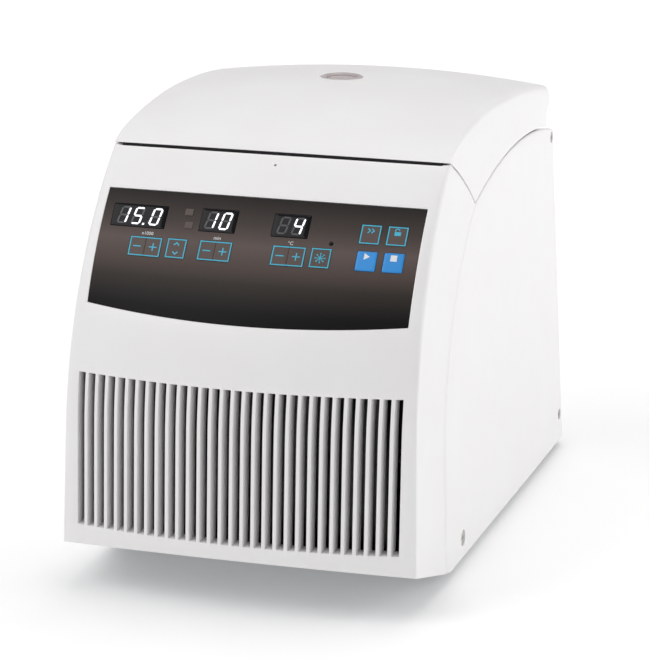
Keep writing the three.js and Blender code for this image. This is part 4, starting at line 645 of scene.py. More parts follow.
def makeCover(side, name, node):
    across, corner, returns = cover["columns"], cover["corner"], cover["returns"]
    columns, rows = across + corner + returns, cover["rows"]
    lowLeft = shell["seamY"] + shell["seamGap"]
    topRear = shell["tipZ"]
    for _ in range(6):  # settles where the rear line meets the lid's
        topRear = partingZ(rearYAt(topRear) - shell["rearCorner"])

    def rearLine(share):
        z = mix(shell["baseZ"], topRear, share)
        return rearYAt(z) - shell["rearCorner"], z

    def seamLine(share):
        tipY = shell["tipY"] + shell["seamGap"]
        z = mix(chinZ(lowLeft), partingZ(tipY), share)
        return min(seamYAt(min(z, shell["tipZ"])) + shell["seamGap"], tipY), z

    def bottomLine(share):
        y = mix(lowLeft, rearLine(0)[0], share)
        return y, chinZ(y)

    def topLine(share):
        y = mix(shell["tipY"] + shell["seamGap"], rearLine(1)[0], share)
        return y, partingZ(y)

    # A surface between the four lines that meets each of them
    def coons(u, v):
        result = []
        for k in (0, 1):
            flat = mix(mix(bottomLine(0)[k], bottomLine(1)[k], u), mix(topLine(0)[k], topLine(1)[k], u), v)
            result.append(mix(bottomLine(u)[k], topLine(u)[k], v)
                          + mix(seamLine(v)[k], rearLine(v)[k], u) - flat)
        return result

    def place(column, row):
        v = row / (rows - 1)
        if column < across:
            y, z = coons(column / (across - 1), v)
            return side * sideX(y, z), y, z
        z = mix(shell["baseZ"], partingZ(rearYAt(topRear)), v)
        half, back = halfAt(z), rearYAt(z)
        r = shell["rearCorner"]
        if column < across + corner:
            x, y = bezier((half, back - r), (half, back), (half - r, back), (column - across + 1) / corner)
            return side * x, y, z
        share = (column - across - corner + 1) / returns
        return side * mix(half - r, shell["returnX"], share), back, z

    obj = gridPiece(name, columns, rows, place)
    if side < 0:
        editAll(obj, lambda: bpy.ops.mesh.flip_normals())
    applyModifier(obj, "SOLIDIFY", thickness=shell["wall"] * mm, offset=-1, use_even_offset=True)
    softEdges(obj, cover["edge"], segments=3, angle=60)
    recesses, heads = [], []
    for y, z, radius in cover["screws"]:
        x = sideX(y, z)
        middle = x + cover["drill"] / 2 - cover["recess"]
        drill = post(side * middle, y, z, radius, cover["drill"], sides=40)
        drill.rotation_euler = (0, math.pi / 2, 0)
        recesses.append(drill)
        heads.append(screwHead(side, x - cover["headDrop"], y, z, radius - cover["headGap"]))
    cutWith(obj, *recesses)
    finishPiece(obj, powderWhite, "housing", "white_enamel", node)
    finishPiece(joined(name + "Screws", heads), nickelPlate, "housing", "zinc_plate")


# A low domed screw head with a cross recess, looking along +X or -X
def screwHead(side, x, y, z, radius):
    low = x - (cover["recess"] - cover["headDrop"]) + screw["seat"]
    profile = [(0, low), (radius, low), (radius, x - screw["rim"]),
               (radius * screw["domeReach"], x - screw["dome"]), (0, x)]
    head = spunPiece("screwHead", profile, 0, 0, segments=32)
    arm, half, depth = radius * screw["slotReach"], screw["slotHalf"], screw["slotDepth"]
    cutWith(head, block((-arm, -half, x - depth), (arm, half, x + depth)))
    cutWith(head, block((-half, -arm, x - depth), (half, arm, x + depth)))
    head.rotation_euler = (0, side * math.pi / 2, 0)
    head.location = (0, y * mm, z * mm)
    pick(head)
    bpy.ops.object.transform_apply(location=True, rotation=True, scale=True)
    return head


makeCover(1, "sideCoverRight", "side_cover_right")
makeCover(-1, "sideCoverLeft", "side_cover_left")
print("side covers made")

# Lid cover: stations from the lip over the dome to the rear foot
lid = {
    "gap": 1.6, "lipRadius": 80, "lipSlope": 33 * degree, "browSlope": 12 * degree, "browEndY": -86,
    "topY": 5, "topZ": 331.5, "tailY": 180, "tailDrop": 17.5,
    "shoulder": (190.3, 312.5), "rearFace": (191.1, 300), "rearBend": (192.4, 294.5), "rearLow": (186, 290.6),
    "foot": (173, 283), "skirt": 5, "rounds": 6, "crowns": 24, "edge": 0.5,
    "crown": 8, "crownBack": 5, "crownLowZ": 294, "crownHighZ": 313,
    "round": 6, "lipRound": 0.8, "lowRound": 0.55, "roundShare": 0.8,
    "tuck": 1.5, "tuckFrontY": 100, "tuckBackY": 190, "slack": 0.05,
    "footTuck": 3.5, "footHighZ": 302, "footInX": 112, "footOutX": 130,
    "axisY": 40, "holeRadius": 16.7, "holeHeight": 40, "searchStep": 0.02, "crowding": 1.4,
    "notchX": (71.5, 84), "notchY": (165, 240), "notchZ": (273, 295.1),
}
lipTopY = faceEdgeY(shell["lipZ"])
browY = lipTopY + lid["lipRadius"] * (math.sin(lid["lipSlope"]) - math.sin(lid["browSlope"]))
browZ = shell["lipZ"] + lid["lipRadius"] * (math.cos(lid["browSlope"]) - math.cos(lid["lipSlope"]))


def lidTopZ(y):
    if y < browY:
        r = lid["lipRadius"]
        centreY = lipTopY + r * math.sin(lid["lipSlope"])
        return shell["lipZ"] - r * math.cos(lid["lipSlope"]) + math.sqrt(r * r - (y - centreY) ** 2)
    if y < lid["topY"]:
        return arcTop(y, lid["topY"], lid["topZ"], browY, lid["topZ"] - browZ)
    return arcTop(y, lid["topY"], lid["topZ"], lid["tailY"], lid["tailDrop"])


# The lid's middle line seen from the side, from lip to foot, with more points where it curves
def lidOutline():
    startY = lipTopY
    while lidTopZ(startY) < shell["lipZ"] + lid["gap"]:
        startY += lid["searchStep"]
    front = [mix(startY, lid["browEndY"], share ** lid["crowding"]) for share in [0] + steps(12)]
    middle = [mix(lid["browEndY"], shell["tipY"], share) for share in steps(5)]
    back = [mix(shell["tipY"], lid["tailY"], share) for share in steps(24)]
    points = [(y, lidTopZ(y)) for y in front + middle + back]
    tail = points[-1]
    points += [bezier(tail, lid["shoulder"], lid["rearFace"], share) for share in steps(8)]
    points += [bezier(lid["rearFace"], lid["rearBend"], lid["rearLow"], share) for share in steps(6)]
    points += [tuple(mix(a, b, share) for a, b in zip(lid["rearLow"], lid["foot"])) for share in steps(3)]
    return points


def makeLidCover():
    outline = lidOutline()
    skirt, rounds, crowns = lid["skirt"], lid["rounds"], lid["crowns"]
    columns = 2 * (skirt + rounds) + crowns + 1
    stations = []
    for i, (y, z) in enumerate(outline):
        before, after = outline[max(i - 1, 0)], outline[min(i + 1, len(outline) - 1)]
        along = Vector((after[0] - before[0], after[1] - before[1])).normalized()
        normal = Vector((-along[1], along[0]))
        lowY = min(y, lid["foot"][0])
        low = (lowY, partingZ(lowY) + lid["gap"])
        climb = min(max((y - lipTopY) / (lid["topY"] - lipTopY), 0), 1)
        share = math.sin(climb * math.pi / 2)
        depth = math.hypot(y - low[0], z - low[1])
        tailShare = 1
        if y > lid["tailY"] or z < lid["rearFace"][1] and y > 0:
            tailShare = smoothStep(z, lid["foot"][1], lid["shoulder"][1])
        radius = max(lid["round"] * share * mix(lid["lowRound"], 1, tailShare), lid["lipRound"])
        radius = min(radius, depth * lid["roundShare"])
        lift = lid["crown"] * share
        if y > lid["tailY"] - lid["crownBack"]:
            lift *= smoothStep(z, lid["crownLowZ"], lid["crownHighZ"])
        stations.append((y, z, normal, low, radius, lift))

    def skirtX(y, z):
        return sideX(y, z) - lid["tuck"] * smoothStep(y, lid["tuckFrontY"], lid["tuckBackY"])

    def place(column, row):
        y, z, normal, low, radius, lift = stations[row]
        left = column <= columns // 2
        step = column if left else columns - 1 - column
        sign = -1 if left else 1
        startY, startZ = y - normal[0] * radius, z - normal[1] * radius
        wide = skirtX(startY, startZ)
        if step <= skirt:
            share = step / skirt
            py, pz = mix(low[0], startY, share), mix(low[1], startZ, share)
            return sign * skirtX(py, pz), py, pz
        if step <= skirt + rounds:
            turn = (step - skirt) / rounds * math.pi / 2
            back = radius * (1 - math.sin(turn))
            x = wide - radius * (1 - math.cos(turn))
            return sign * x, y - normal[0] * back, z - normal[1] * back
        share = 1 - (step - skirt - rounds) / (crowns / 2)
        return sign * (wide - radius) * share, y, z + lift * (1 - share * share)

    obj = gridPiece("lidShell", columns, len(outline), place)
    editAll(obj, weld)

    # No inner point hangs below the edge, so the gap over the housing stays open
    def innerPlace(outer, inner):
        lowest = partingZ(inner.y) + lid["gap"]
        if inner.y > lid["foot"][0] or inner.z > lowest:
            return inner
        return Vector((inner.x, inner.y, lowest))

    thicken(obj, innerPlace)
    notches = []
    for sign in (-1, 1):
        low, high = sorted(sign * x for x in lid["notchX"])
        (front, back), (bottom, top) = lid["notchY"], lid["notchZ"]
        notches.append(block((low, front, bottom), (high, back, top)))
    cutWith(obj, post(0, lid["axisY"], lid["topZ"], lid["holeRadius"], lid["holeHeight"], sides=96),
            *notches)

    # The wall leaves some points outside the skin; they go back in, and the rear corners draw in
    for vertex in obj.data.vertices:
        x, y, z = vertex.co / mm
        share = smoothStep(y, lid["foot"][0], lid["rearLow"][0])
        share *= 1 - smoothStep(z, lid["foot"][1], lid["footHighZ"])
        wide = abs(x)
        if wide > skirtX(y, z) + lid["slack"]:
            wide = skirtX(y, z) - shell["wall"] / 2
        wide -= lid["footTuck"] * share * smoothStep(wide, lid["footInX"], lid["footOutX"])
        vertex.co.x = math.copysign(wide, x) * mm
    softEdges(obj, lid["edge"], angle=50)
    return finishPiece(obj, mouldedWhite, "lid", "white_plastic", "lid_cover")


makeLidCover()

# Black rubber strip under the front edge of the lid, put there as painted shade: it makes the gap a dark line
gapShadeStrip = {"low": (-121.5, -113.3, 304), "high": (121.5, -111.2, 311.1), "edge": 0.4}
strip = block(gapShadeStrip["low"], gapShadeStrip["high"])
strip.name = "lidGapShadeStrip"
softEdges(strip, gapShadeStrip["edge"])
finishPiece(strip, mouldedRubber, "lid", "black_rubber")
print("lid cover made")

# Control panel: film on a curved plate, with windows for what sits in it
panel = {
    "half": 119.5, "lowZ": 210, "highZ": 283.5, "sink": 0.1, "thickness": 1.5, "corner": 0.5,
    "columns": 81, "rows": 31, "cutLift": 3, "cutDepth": 8, "gap": 0.25, "windowGap": 0.3,
    "keyHole": 1.3, "windowHole": 0.9, "keyHeight": 15.4, "keyProud": 0.15, "blueProud": 0.5, "cap": 3,
    "keyCorner": 1, "keyEdge": 0.3, "blueEdge": 0.7, "displayHeight": 18.4, "displayProud": 0.05,
    "displayDepth": 5, "displayCorner": 0.8, "displayEdge": 0.25, "inkLift": 0.06, "figureLift": 0.08,
}

# Middle and width of each key and each display
keys = {
    "speed_minus": (-88.43, 248.81, 12.1), "speed_plus": (-76.24, 248.81, 12.1),
    "speed_mode": (-58.55, 249.18, 14.6),
    "time_minus": (-35.25, 249.47, 12.1), "time_plus": (-23.06, 249.47, 12.1),
    "temp_minus": (19.6, 249.76, 12.1), "temp_plus": (31.79, 249.76, 12.1),
    "quick_cool": (49.47, 249.98, 14.6),
    "pulse": (82.34, 266.23, 14.6), "open": (101.93, 266.23, 14.6),
    "start": (82.93, 249.98, 14.6), "stop": (102.53, 249.98, 14.6),
}
displays = {"speed_display": (-91.78, 267.48, 41.3), "time_display": (-31.19, 267.99, 27.0),
            "temp_display": (23.3, 268.07, 27.0)}


# Rounds the given points of a flat piece and gives it its thickness
def plateFrom(obj, points, corner, segments, depth):
    corners = obj.vertex_groups.new(name="corners")
    corners.add(points, 1.0, "REPLACE")
    applyModifier(obj, "BEVEL", width=corner * mm, segments=segments, affect="VERTICES",
                  limit_method="VGROUP", vertex_group="corners")
    applyModifier(obj, "SOLIDIFY", thickness=depth * mm, offset=-1, use_even_offset=True)
    return obj


# A rounded patch that follows the face round a centre, in the face's own measure
def facePatch(name, x, z, width, height, lift, depth, corner, cells=8):
    slope = faceSlope(z)

    def place(column, row):
        u = (column / cells - 0.5) * width
        v = (row / cells - 0.5) * height * slope
        return onFace(x + u, z + v, lift)

    obj = gridPiece(name, cells + 1, cells + 1, place)
    last = (cells + 1) ** 2 - 1
    return plateFrom(obj, [0, cells, last - cells, last], corner, 4, depth)


def makePanel():
    columns, rows = panel["columns"], panel["rows"]

    def place(column, row):
        x = mix(-panel["half"], panel["half"], column / (columns - 1))
        low = panel["lowZ"] + smileSag(x)
        return onFace(x, mix(low, panel["highZ"], row / (rows - 1)), -panel["sink"])

    obj = gridPiece("panelPlate", columns, rows, place)
    last = columns * rows - 1
    plateFrom(obj, [last, last - columns + 1], panel["corner"], 3, panel["thickness"])

    def cutter(x, z, width, height, gap, corner):
        return facePatch("cutter", x, z, width + 2 * gap, height + 2 * gap, panel["cutLift"],
                         panel["cutDepth"], corner, cells=3)

    cutters = []
    for name, (x, z, width) in keys.items():
        if name.endswith("_plus"):
            continue
        if name.endswith("_minus"):
            otherX = keys[name.replace("_minus", "_plus")][0]
            x, width = (x + otherX) / 2, width + otherX - x
        cutters.append(cutter(x, z, width, panel["keyHeight"], panel["gap"], panel["keyHole"]))
    for x, z, width in displays.values():
        cutters.append(cutter(x, z, width, panel["displayHeight"], panel["windowGap"], panel["windowHole"]))
    cutWith(obj, *cutters)
    return finishPiece(obj, panelFilmPaintedReflection, "housing", "panel_film", "control_panel")


makePanel()
for name, (x, z, width) in displays.items():
    window = facePatch(name.replace("_display", "Window"), x, z, width, panel["displayHeight"],
                       panel["displayProud"], panel["displayDepth"], panel["displayCorner"])
    softEdges(window, panel["displayEdge"])
    finishPiece(window, tintedWindow, "housing", "display_lens", name)
for name, (x, z, width) in keys.items():
    blue = name in ("start", "stop")
    proud, edge, finish, slot = ("blueProud", "blueEdge", keyBlue, "key_blue") if blue else (
        "keyProud", "keyEdge", keyFilm, "key_dark")
    cap = facePatch(name + "Cap", x, z, width, panel["keyHeight"], panel[proud], panel["cap"],
                    panel["keyCorner"])
    softEdges(cap, panel[edge], segments=3)
    finishPiece(cap, finish, name, slot, name + "_key")
print("panel, displays and keys made")


# Marks on the panel: each starts flat in the XZ plane and is then laid on the face
def polygon(points):
    obj = added(bpy.ops.mesh.primitive_circle_add, vertices=len(points), fill_type="NGON")
    for vertex, (u, v) in zip(obj.data.vertices, points):
        vertex.co = Vector((u, 0, v)) * mm
    return obj


# Flat points turned by an angle, then moved to (u, v)
def rotated(points, u, v, angle):
    c, s = math.cos(angle), math.sin(angle)
    return [(u + (p * c - q * s), v + (p * s + q * c)) for p, q in points]


def bar(u, v, length, width, angle=0.0, pointed=False):
    a, b = length / 2, width / 2
    outline = [(-a, -b), (a, -b), (a, b), (-a, b)]
    if pointed:
        outline = [(b - a, -b), (a - b, -b), (a, 0), (a - b, b), (b - a, b), (-a, 0)]
    return polygon(rotated(outline, u, v, angle))


# Joins marks, bends them onto the face round (x, z) and gives them the thickness of ink
def lay(name, pieces, x, z, lift, material, body, slot):
    obj = joined(name, pieces)
    slope = faceSlope(z)
    split = lambda: bpy.ops.mesh.subdivide(number_cuts=3)
    editAll(obj, split)
    for vertex in obj.data.vertices:
        u, v = vertex.co.x / mm, vertex.co.z / mm
        vertex.co = onFace(x + u, z + v * slope, lift) * mm
    for face in obj.data.polygons:
        if face.normal.y > 0:
            face.flip()
    applyModifier(obj, "SOLIDIFY", thickness=panel["inkLift"] * mm, offset=1)
    return finishPiece(obj, material, body, slot)


def laidText(text, size):
    obj = added(bpy.ops.object.text_add)
    obj.data.body = text
    obj.data.size = size * mm
    obj.data.align_x = "CENTER"
    obj.data.resolution_u = 3
    obj.rotation_euler = (math.pi / 2, 0, 0)
    pick(obj)
    bpy.ops.object.convert(target="MESH")
    bpy.ops.object.transform_apply(location=True, rotation=True, scale=True)
    return bpy.context.object


# Sizes of the printed marks, in millimetres
marks = {
    "line": 0.85, "inset": 0.15, "sign": 6, "flakeHub": 0.85, "flakeSpoke": (2.1, 2.4, 0.55),
    "flakeTip": (3.65, 0.6, 1.3), "upDownTip": 5.2, "upDown": (2.3, 0.9), "aheadTips": ((0.1, 3), (2.9, 3)),
    "ahead": (2.1, 0.8), "lockBody": (0, 1.9, 4.6, 3.0), "lockRing": (-0.4, 4.4, 1.5, 0.7),
    "lockLeg": (-1.9, 3.9, 1.0, 0.7), "play": ((-1.9, 0.9), (2.3, 3.5), (-1.9, 6.1)),
    "stop": (0, 3.4, 4.6, 4.8),
}
line = marks["line"]


# The frame printed on the outer sides of a key, open where two halves meet
def keyFrame(width, openSide=0):
    inset = line / 2 + marks["inset"]
    a, b = width / 2 - inset, panel["keyHeight"] / 2 - inset
    left = -a if openSide >= 0 else -width / 2
    right = a if openSide <= 0 else width / 2
    left -= line / 2 if openSide >= 0 else 0
    right += line / 2 if openSide <= 0 else 0
    bars = [bar((left + right) / 2, side * b, right - left, line) for side in (-1, 1)]
    return bars + [bar(side * a, 0, 2 * b - line, line, math.pi / 2) for side in (-1, 1) if side != openSide]


# An angle mark whose tip is at (u, v) and points along the given turn
def chevron(u, v, reach, width, turn):
    back = width * math.sqrt(2)
    outline = [(0, 0), (-reach, reach), (-reach - back / 2, reach - back / 2), (-back, 0),
               (-reach - back / 2, back / 2 - reach), (-reach, -reach)]
    return polygon(rotated(outline, u, v, turn))


# Points on an arc round (u, v), both ends included
def arc(u, v, radius, start, end, count):
    angles = [mix(start, end, share) for share in [0] + steps(count)]
    return [(u + radius * math.cos(a), v + radius * math.sin(a)) for a in angles]


def halfRing(u, v, radius, width):
    outer = arc(u, v, radius + width / 2, 0, math.pi, 12)
    return polygon(outer + arc(u, v, radius - width / 2, 0, math.pi, 12)[::-1])


# Eight spokes round a small middle, each with a short bar across it near the end
def snowflake():
    turns = [i * math.pi / 4 for i in range(8)]
    pieces = [polygon([(marks["flakeHub"] * math.cos(a), marks["flakeHub"] * math.sin(a)) for a in turns])]
    for a in turns:
        for away, length, width in (marks["flakeSpoke"], marks["flakeTip"]):
            pieces.append(bar(away * math.cos(a), away * math.sin(a), length, width, a))
    return pieces


def makeKeyMarks():
    up = math.pi / 2
    arm = (marks["sign"] - line) / 2
    minus = lambda: [bar(0, 0, marks["sign"], line)]
    plus = lambda: minus() + [bar(0, side * (arm + line) / 2, arm, line, up) for side in (-1, 1)]

    def put(key, kind, pieces, blue=False):
        x, z, _ = keys[key]
        proud, ink, slot = ("blueProud", paleInk, "key_blue") if blue else ("keyProud", tealInk, "key_dark")
        lay(key + kind, pieces, x, z, panel[proud] + panel["inkLift"], ink, key, slot)

    for name in ("speed", "time", "temp"):
        for kind, sign, openSide in (("_minus", minus, 1), ("_plus", plus, -1)):
            key = name + kind
            put(key, "Frame", keyFrame(keys[key][2], openSide))
            put(key, "Sign", sign())
    for key in ("speed_mode", "quick_cool", "pulse", "open"):
        put(key, "Frame", keyFrame(keys[key][2]))
    signs = {
        "speed_mode": [chevron(0, side * marks["upDownTip"], *marks["upDown"], side * up)
                       for side in (1, -1)],
        "quick_cool": snowflake(),
        "pulse": [chevron(*tip, *marks["ahead"], 0) for tip in marks["aheadTips"]],
        "open": [bar(*marks["lockBody"]), halfRing(*marks["lockRing"]), bar(*marks["lockLeg"], up)],
    }
    for key, pieces in signs.items():
        put(key, "Sign", pieces)
    put("start", "Sign", [polygon(marks["play"])], blue=True)
    put("stop", "Sign", [bar(*marks["stop"])], blue=True)


makeKeyMarks()

# Seven-segment figures behind the windows: which bars are lit for each figure, and what each
# display shows, with the figure that the point follows
digits = {
    "height": 12.9, "width": 5.9, "bar": 1.35, "gap": 0.35, "pitch": 10.8, "slant": 0.17,
    "point": 1.5, "pointPlace": 0.9, "beforePoint": -1.015, "afterPoint": 1.885,
    "lit": {"0": "abcdef", "1": "bc", "4": "bcfg", "5": "acdfg", " ": ""},
    "shown": {"speed_display": ("150", 1), "time_display": ("10", None), "temp_display": (" 4", None)},
}


def makeFigures():
    tall, wide, thick = digits["height"] / 2, digits["width"], digits["bar"]
    places = {
        "a": (0, tall, 0), "g": (0, 0, 0), "d": (0, -tall, 0),
        "b": (wide / 2, tall / 2, 1), "c": (wide / 2, -tall / 2, 1),
        "e": (-wide / 2, -tall / 2, 1), "f": (-wide / 2, tall / 2, 1),
    }
    for name, (text, point) in digits["shown"].items():
        x, z, _ = displays[name]
        on, off = [], []
        for i, figure in enumerate(text):
            middle = (i - (len(text) - 1) / 2) * digits["pitch"]
            if point is not None:
                middle += digits["afterPoint" if i > point else "beforePoint"]
            for segment, (u, v, upright) in places.items():
                length = (tall if upright else wide) - digits["gap"]
                mark = bar(middle + u, v, length, thick, math.pi / 2 if upright else 0, pointed=True)
                (on if segment in digits["lit"][figure] else off).append(mark)
            if i == point:
                away = middle + digits["pitch"] / 2 + digits["pointPlace"]
                on.append(bar(away, -tall, digits["point"], digits["point"]))
        for mark in on + off:
            for vertex in mark.data.vertices:
                vertex.co.x += vertex.co.z * digits["slant"]
        stem = name.replace("_display", "")
        for kind, bars, material in (("FiguresOn", on, segmentOn), ("FiguresOff", off, segmentOff)):
            lay(stem + kind, bars, x, z, panel["figureLift"], material, "housing", "display_lens")


makeFigures()

# Units printed under the displays: name, text, size and middle
units = (("scaleSpeed", "x1000", 3.6, -82.5, 256.3), ("scaleTime", "min", 3.8, -29.2, 256.6),
         ("scaleTemp", "°C", 3.8, 25.7, 256.8))
for name, text, size, x, z in units:
    lift = panel["inkLift"] - panel["sink"]
    lay(name, [laidText(text, size)], x, z, lift, paleInk, "housing", "panel_film")

# Lamps in the panel: two square ones beside the speed and a round one near the temperature
lamps = {
    "speedLampUpper": (-54.6, 271.9), "speedLampLower": (-52.7, 264.0), "width": 6, "height": 5.4,
    "proud": 0.3, "depth": 1, "corner": 1.2, "edge": 0.28, "round": (55.3, 259.2), "tilt": 52 * degree,
    "profile": ((0, -0.6), (1.7, -0.6), (1.7, 0), (1.2, 0.5), (0.6, 0.7), (0, 0.75)),
}
for name in ("speedLampUpper", "speedLampLower"):
    lamp = facePatch(name, *lamps[name], lamps["width"], lamps["height"], lamps["proud"], lamps["depth"],
                     lamps["corner"])
    softEdges(lamp, lamps["edge"], segments=3)
    finishPiece(lamp, keyFilm, "housing", "display_lens")
coolLamp = spunPiece("coolLamp", lamps["profile"], 0, 0, segments=32)
coolLamp.location = onFace(*lamps["round"], -panel["sink"]) * mm
coolLamp.rotation_euler = (lamps["tilt"], 0, 0)
finishPiece(coolLamp, tintedWindow, "housing", "display_lens")
print("marks and figures made")


# Pieces turned round the lid's axis
def turnedPiece(name, profile, material, body, slot, node, segments=96):
    return finishPiece(spunPiece(name, profile, 0, lid["axisY"], segments), material, body, slot, node)


# The viewport in the lid: a clear ring flush with the dome, and its pane a step lower
viewport = {"ring": 16.4, "pane": 11.5, "gap": 0.3, "outerEdge": 0.9, "innerEdge": 1.2, "paneEdge": 0.4}


def makeViewport():
    low, high = levels("viewport_ring")
    outer, inner = viewport["ring"], viewport["pane"] + viewport["gap"]
    wide, narrow = viewport["outerEdge"], viewport["innerEdge"]
    profile = [(inner, low), (outer, low), (outer, high - wide), (outer - wide, high),
               (inner + narrow, high), (inner, high - narrow)]
    turnedPiece("viewportRing", profile, clearPolycarbonate, "lid", "clear_lens", "viewport_ring")
    low, high = levels("viewport_pane")
    outer, edge = viewport["pane"], viewport["paneEdge"]
    profile = [(0, low), (outer, low), (outer, high - edge), (outer - edge, high), (0, high)]
    turnedPiece("viewportPane", profile, clearPolycarbonate, "lid", "clear_lens", "viewport_pane")


makeViewport()

# Chamber: drawn bowl with a rolled flange, and a lipped seal on it. The seal's points count in from
# its edges, and up from its foot or down from its top.
chamber = {
    "radius": 94, "wall": 1.2, "floorZ": 198, "corner": 8, "neck": 16, "neckRise": 8, "flange": 6,
    "lipIn": 0.6, "lipDown": 0.8, "segments": 128,
    "sealIn": 95, "sealOut": 100, "sealFoot": ((0, 0), (0, 1.4), (0.8, 1.9)), "sealTop": (1.2, 0.5),
}


def makeChamber():
    c = chamber
    wall, radius, floorTop = c["wall"], c["radius"], c["floorZ"] + c["wall"]
    top = levels("chamber_bowl")[1]
    outer = radius + wall
    curve = arc(0, 0, 1, 0, math.pi / 2, 8)
    bend = lambda side, foot, corner: [(side - corner * (1 - s), foot + corner * (1 - k)) for s, k in curve]
    profile = [(c["neck"], floorTop + c["neckRise"]), (c["neck"], c["floorZ"])]
    profile += bend(outer, c["floorZ"], c["corner"])[::-1]
    profile += [(outer, top - wall), (outer + c["flange"], top - wall), (outer + c["flange"], top),
                (radius + c["lipIn"], top), (radius, top - c["lipDown"])]
    profile += bend(radius, floorTop, c["corner"] - wall)
    profile += [(c["neck"] + wall, floorTop), (c["neck"] + wall, floorTop + c["neckRise"])]
    turnedPiece("bowlShell", profile, stainlessSteel, "housing", "stainless", "chamber_bowl", c["segments"])
    low, high = levels("chamber_seal")
    foot, (shoulder, down) = c["sealFoot"], c["sealTop"]
    profile = [(c["sealIn"], low)] + [(c["sealOut"] - away, low + rise) for away, rise in foot]
    profile += [(c["sealOut"] - shoulder, high - down), ((c["sealIn"] + c["sealOut"]) / 2, high)]
    profile += [(c["sealIn"] + shoulder, high - down)]
    profile += [(c["sealIn"] + away, low + rise) for away, rise in foot[:0:-1]]
    turnedPiece("sealRing", profile, mouldedRubber, "housing", "black_rubber", "chamber_seal", c["segments"])


makeChamber()

# Rotor: turned body with 24 slanted bores, its flat lid and the gripped knob. The profiles hold
# radius and height: "up" counts from the foot of the piece, "down" from its top.
rotor = {
    "bores": 24, "boreRadius": 5.6, "boreCircle": 52, "boreTilt": 45 * degree, "boreDrop": 2,
    "boreLength": 40, "boreSpare": 10,
    "bodyUp": ((9.3, 0), (29, 0), (31, 0.2), (86.5, 5.9), (87.5, 7), (87.5, 27), (86.8, 28.6)),
    "bodyDown": ((64.8, 0.6), (63.5, 0), (12.8, 0), (12, 0.8), (12, 7), (6.3, 7)),
    "coneUp": ((6.3, 30), (9.3, 3)),
    "lidUp": ((12, 0), (61.6, 0), (62, 0.4), (62, 1.5), (61.5, 2), (25, 2), (22.5, 2.6)),
    "lidDown": ((21, 0.3), (20, 0), (12.4, 0), (12, 0.4)),
}
knob = {"stemZ": 249.3, "stem": 4.6, "collar": 11.7, "head": 12, "radius": 17, "edge": 0.4, "round": 2.2,
        "dishDown": ((9, 0), (8, 0.7), (0, 0.9)), "grips": 20, "gripCircle": 17.3, "gripRadius": 1.6,
        "gripDown": 6, "gripLength": 16}


def profileOf(node, *parts):
    low, high = levels(node)
    profile = []
    for up, points in parts:
        profile += [(radius, low + z if up else high - z) for radius, z in points]
    return profile


def makeRotor():
    profile = profileOf("rotor_body", (True, rotor["bodyUp"]), (False, rotor["bodyDown"]),
                        (True, rotor["coneUp"]))
    obj = spunPiece("rotorBody", profile, 0, lid["axisY"])
    top, tilt, spare = levels("rotor_body")[1], rotor["boreTilt"], rotor["boreSpare"]
    along = (rotor["boreLength"] - spare) / 2
    away = rotor["boreCircle"] + along * math.sin(tilt)
    z = top - rotor["boreDrop"] - along * math.cos(tilt)
    drills = []
    for i in range(rotor["bores"]):
        angle = 2 * math.pi * (i + 0.5) / rotor["bores"]
        drill = post(away * math.cos(angle), lid["axisY"] + away * math.sin(angle), z, rotor["boreRadius"],
                     rotor["boreLength"] + spare, sides=24)
        drill.rotation_euler = (0, math.pi - tilt, angle)
        drills.append(drill)
    cutWith(obj, *drills)
    finishPiece(obj, anodisedDark, "rotor", "rotor_anodised", "rotor_body")
    profile = profileOf("rotor_lid", (True, rotor["lidUp"]), (False, rotor["lidDown"]))
    turnedPiece("rotorLid", profile, castAluminium, "rotor", "cast_aluminium", "rotor_lid")


def makeKnob():
    low, high = levels("rotor_knob")
    radius, head, r, edge = knob["radius"], high - knob["head"], knob["round"], knob["edge"]
    profile = [(0, knob["stemZ"]), (knob["stem"], knob["stemZ"]), (knob["stem"], low), (knob["collar"], low),
               (knob["collar"], head), (radius - edge, head), (radius, head + edge)]
    profile += arc(radius - r, high - r, r, 0, math.pi / 2, 6)
    profile += [(x, high - down) for x, down in knob["dishDown"]]
    obj = spunPiece("rotorKnob", profile, 0, lid["axisY"])
    spots = arc(0, lid["axisY"], knob["gripCircle"], 0, 2 * math.pi, knob["grips"])[:-1]
    cutWith(obj, *(post(x, y, high - knob["gripDown"], knob["gripRadius"], knob["gripLength"], sides=16)
                   for x, y in spots))
    finishPiece(obj, mouldedBlack, "rotor", "black_plastic", "rotor_knob")


makeRotor()
makeKnob()
print("chamber and rotor made")

# Feet: turned rubber pads with a hollow for their screw
foot = {"up": ((0, 3.5), (2.6, 3.5), (3, 3.1), (3, 0.4), (3.4, 0), (9, 0), (9.8, 0.5)),
        "down": ((11, 1.6), (11, 0.3), (10.7, 0), (0, 0))}
for place in ("front_left", "front_right", "rear_left", "rear_right"):
    node = "foot_" + place
    low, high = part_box(node)
    profile = profileOf(node, (True, foot["up"]), (False, foot["down"]))
    pad = spunPiece("foot" + place.title().replace("_", ""), profile, (low.x + high.x) / 2 / mm,
                    (low.y + high.y) / 2 / mm, segments=48)
    finishPiece(pad, mouldedRubber, "housing", "black_rubber", node)

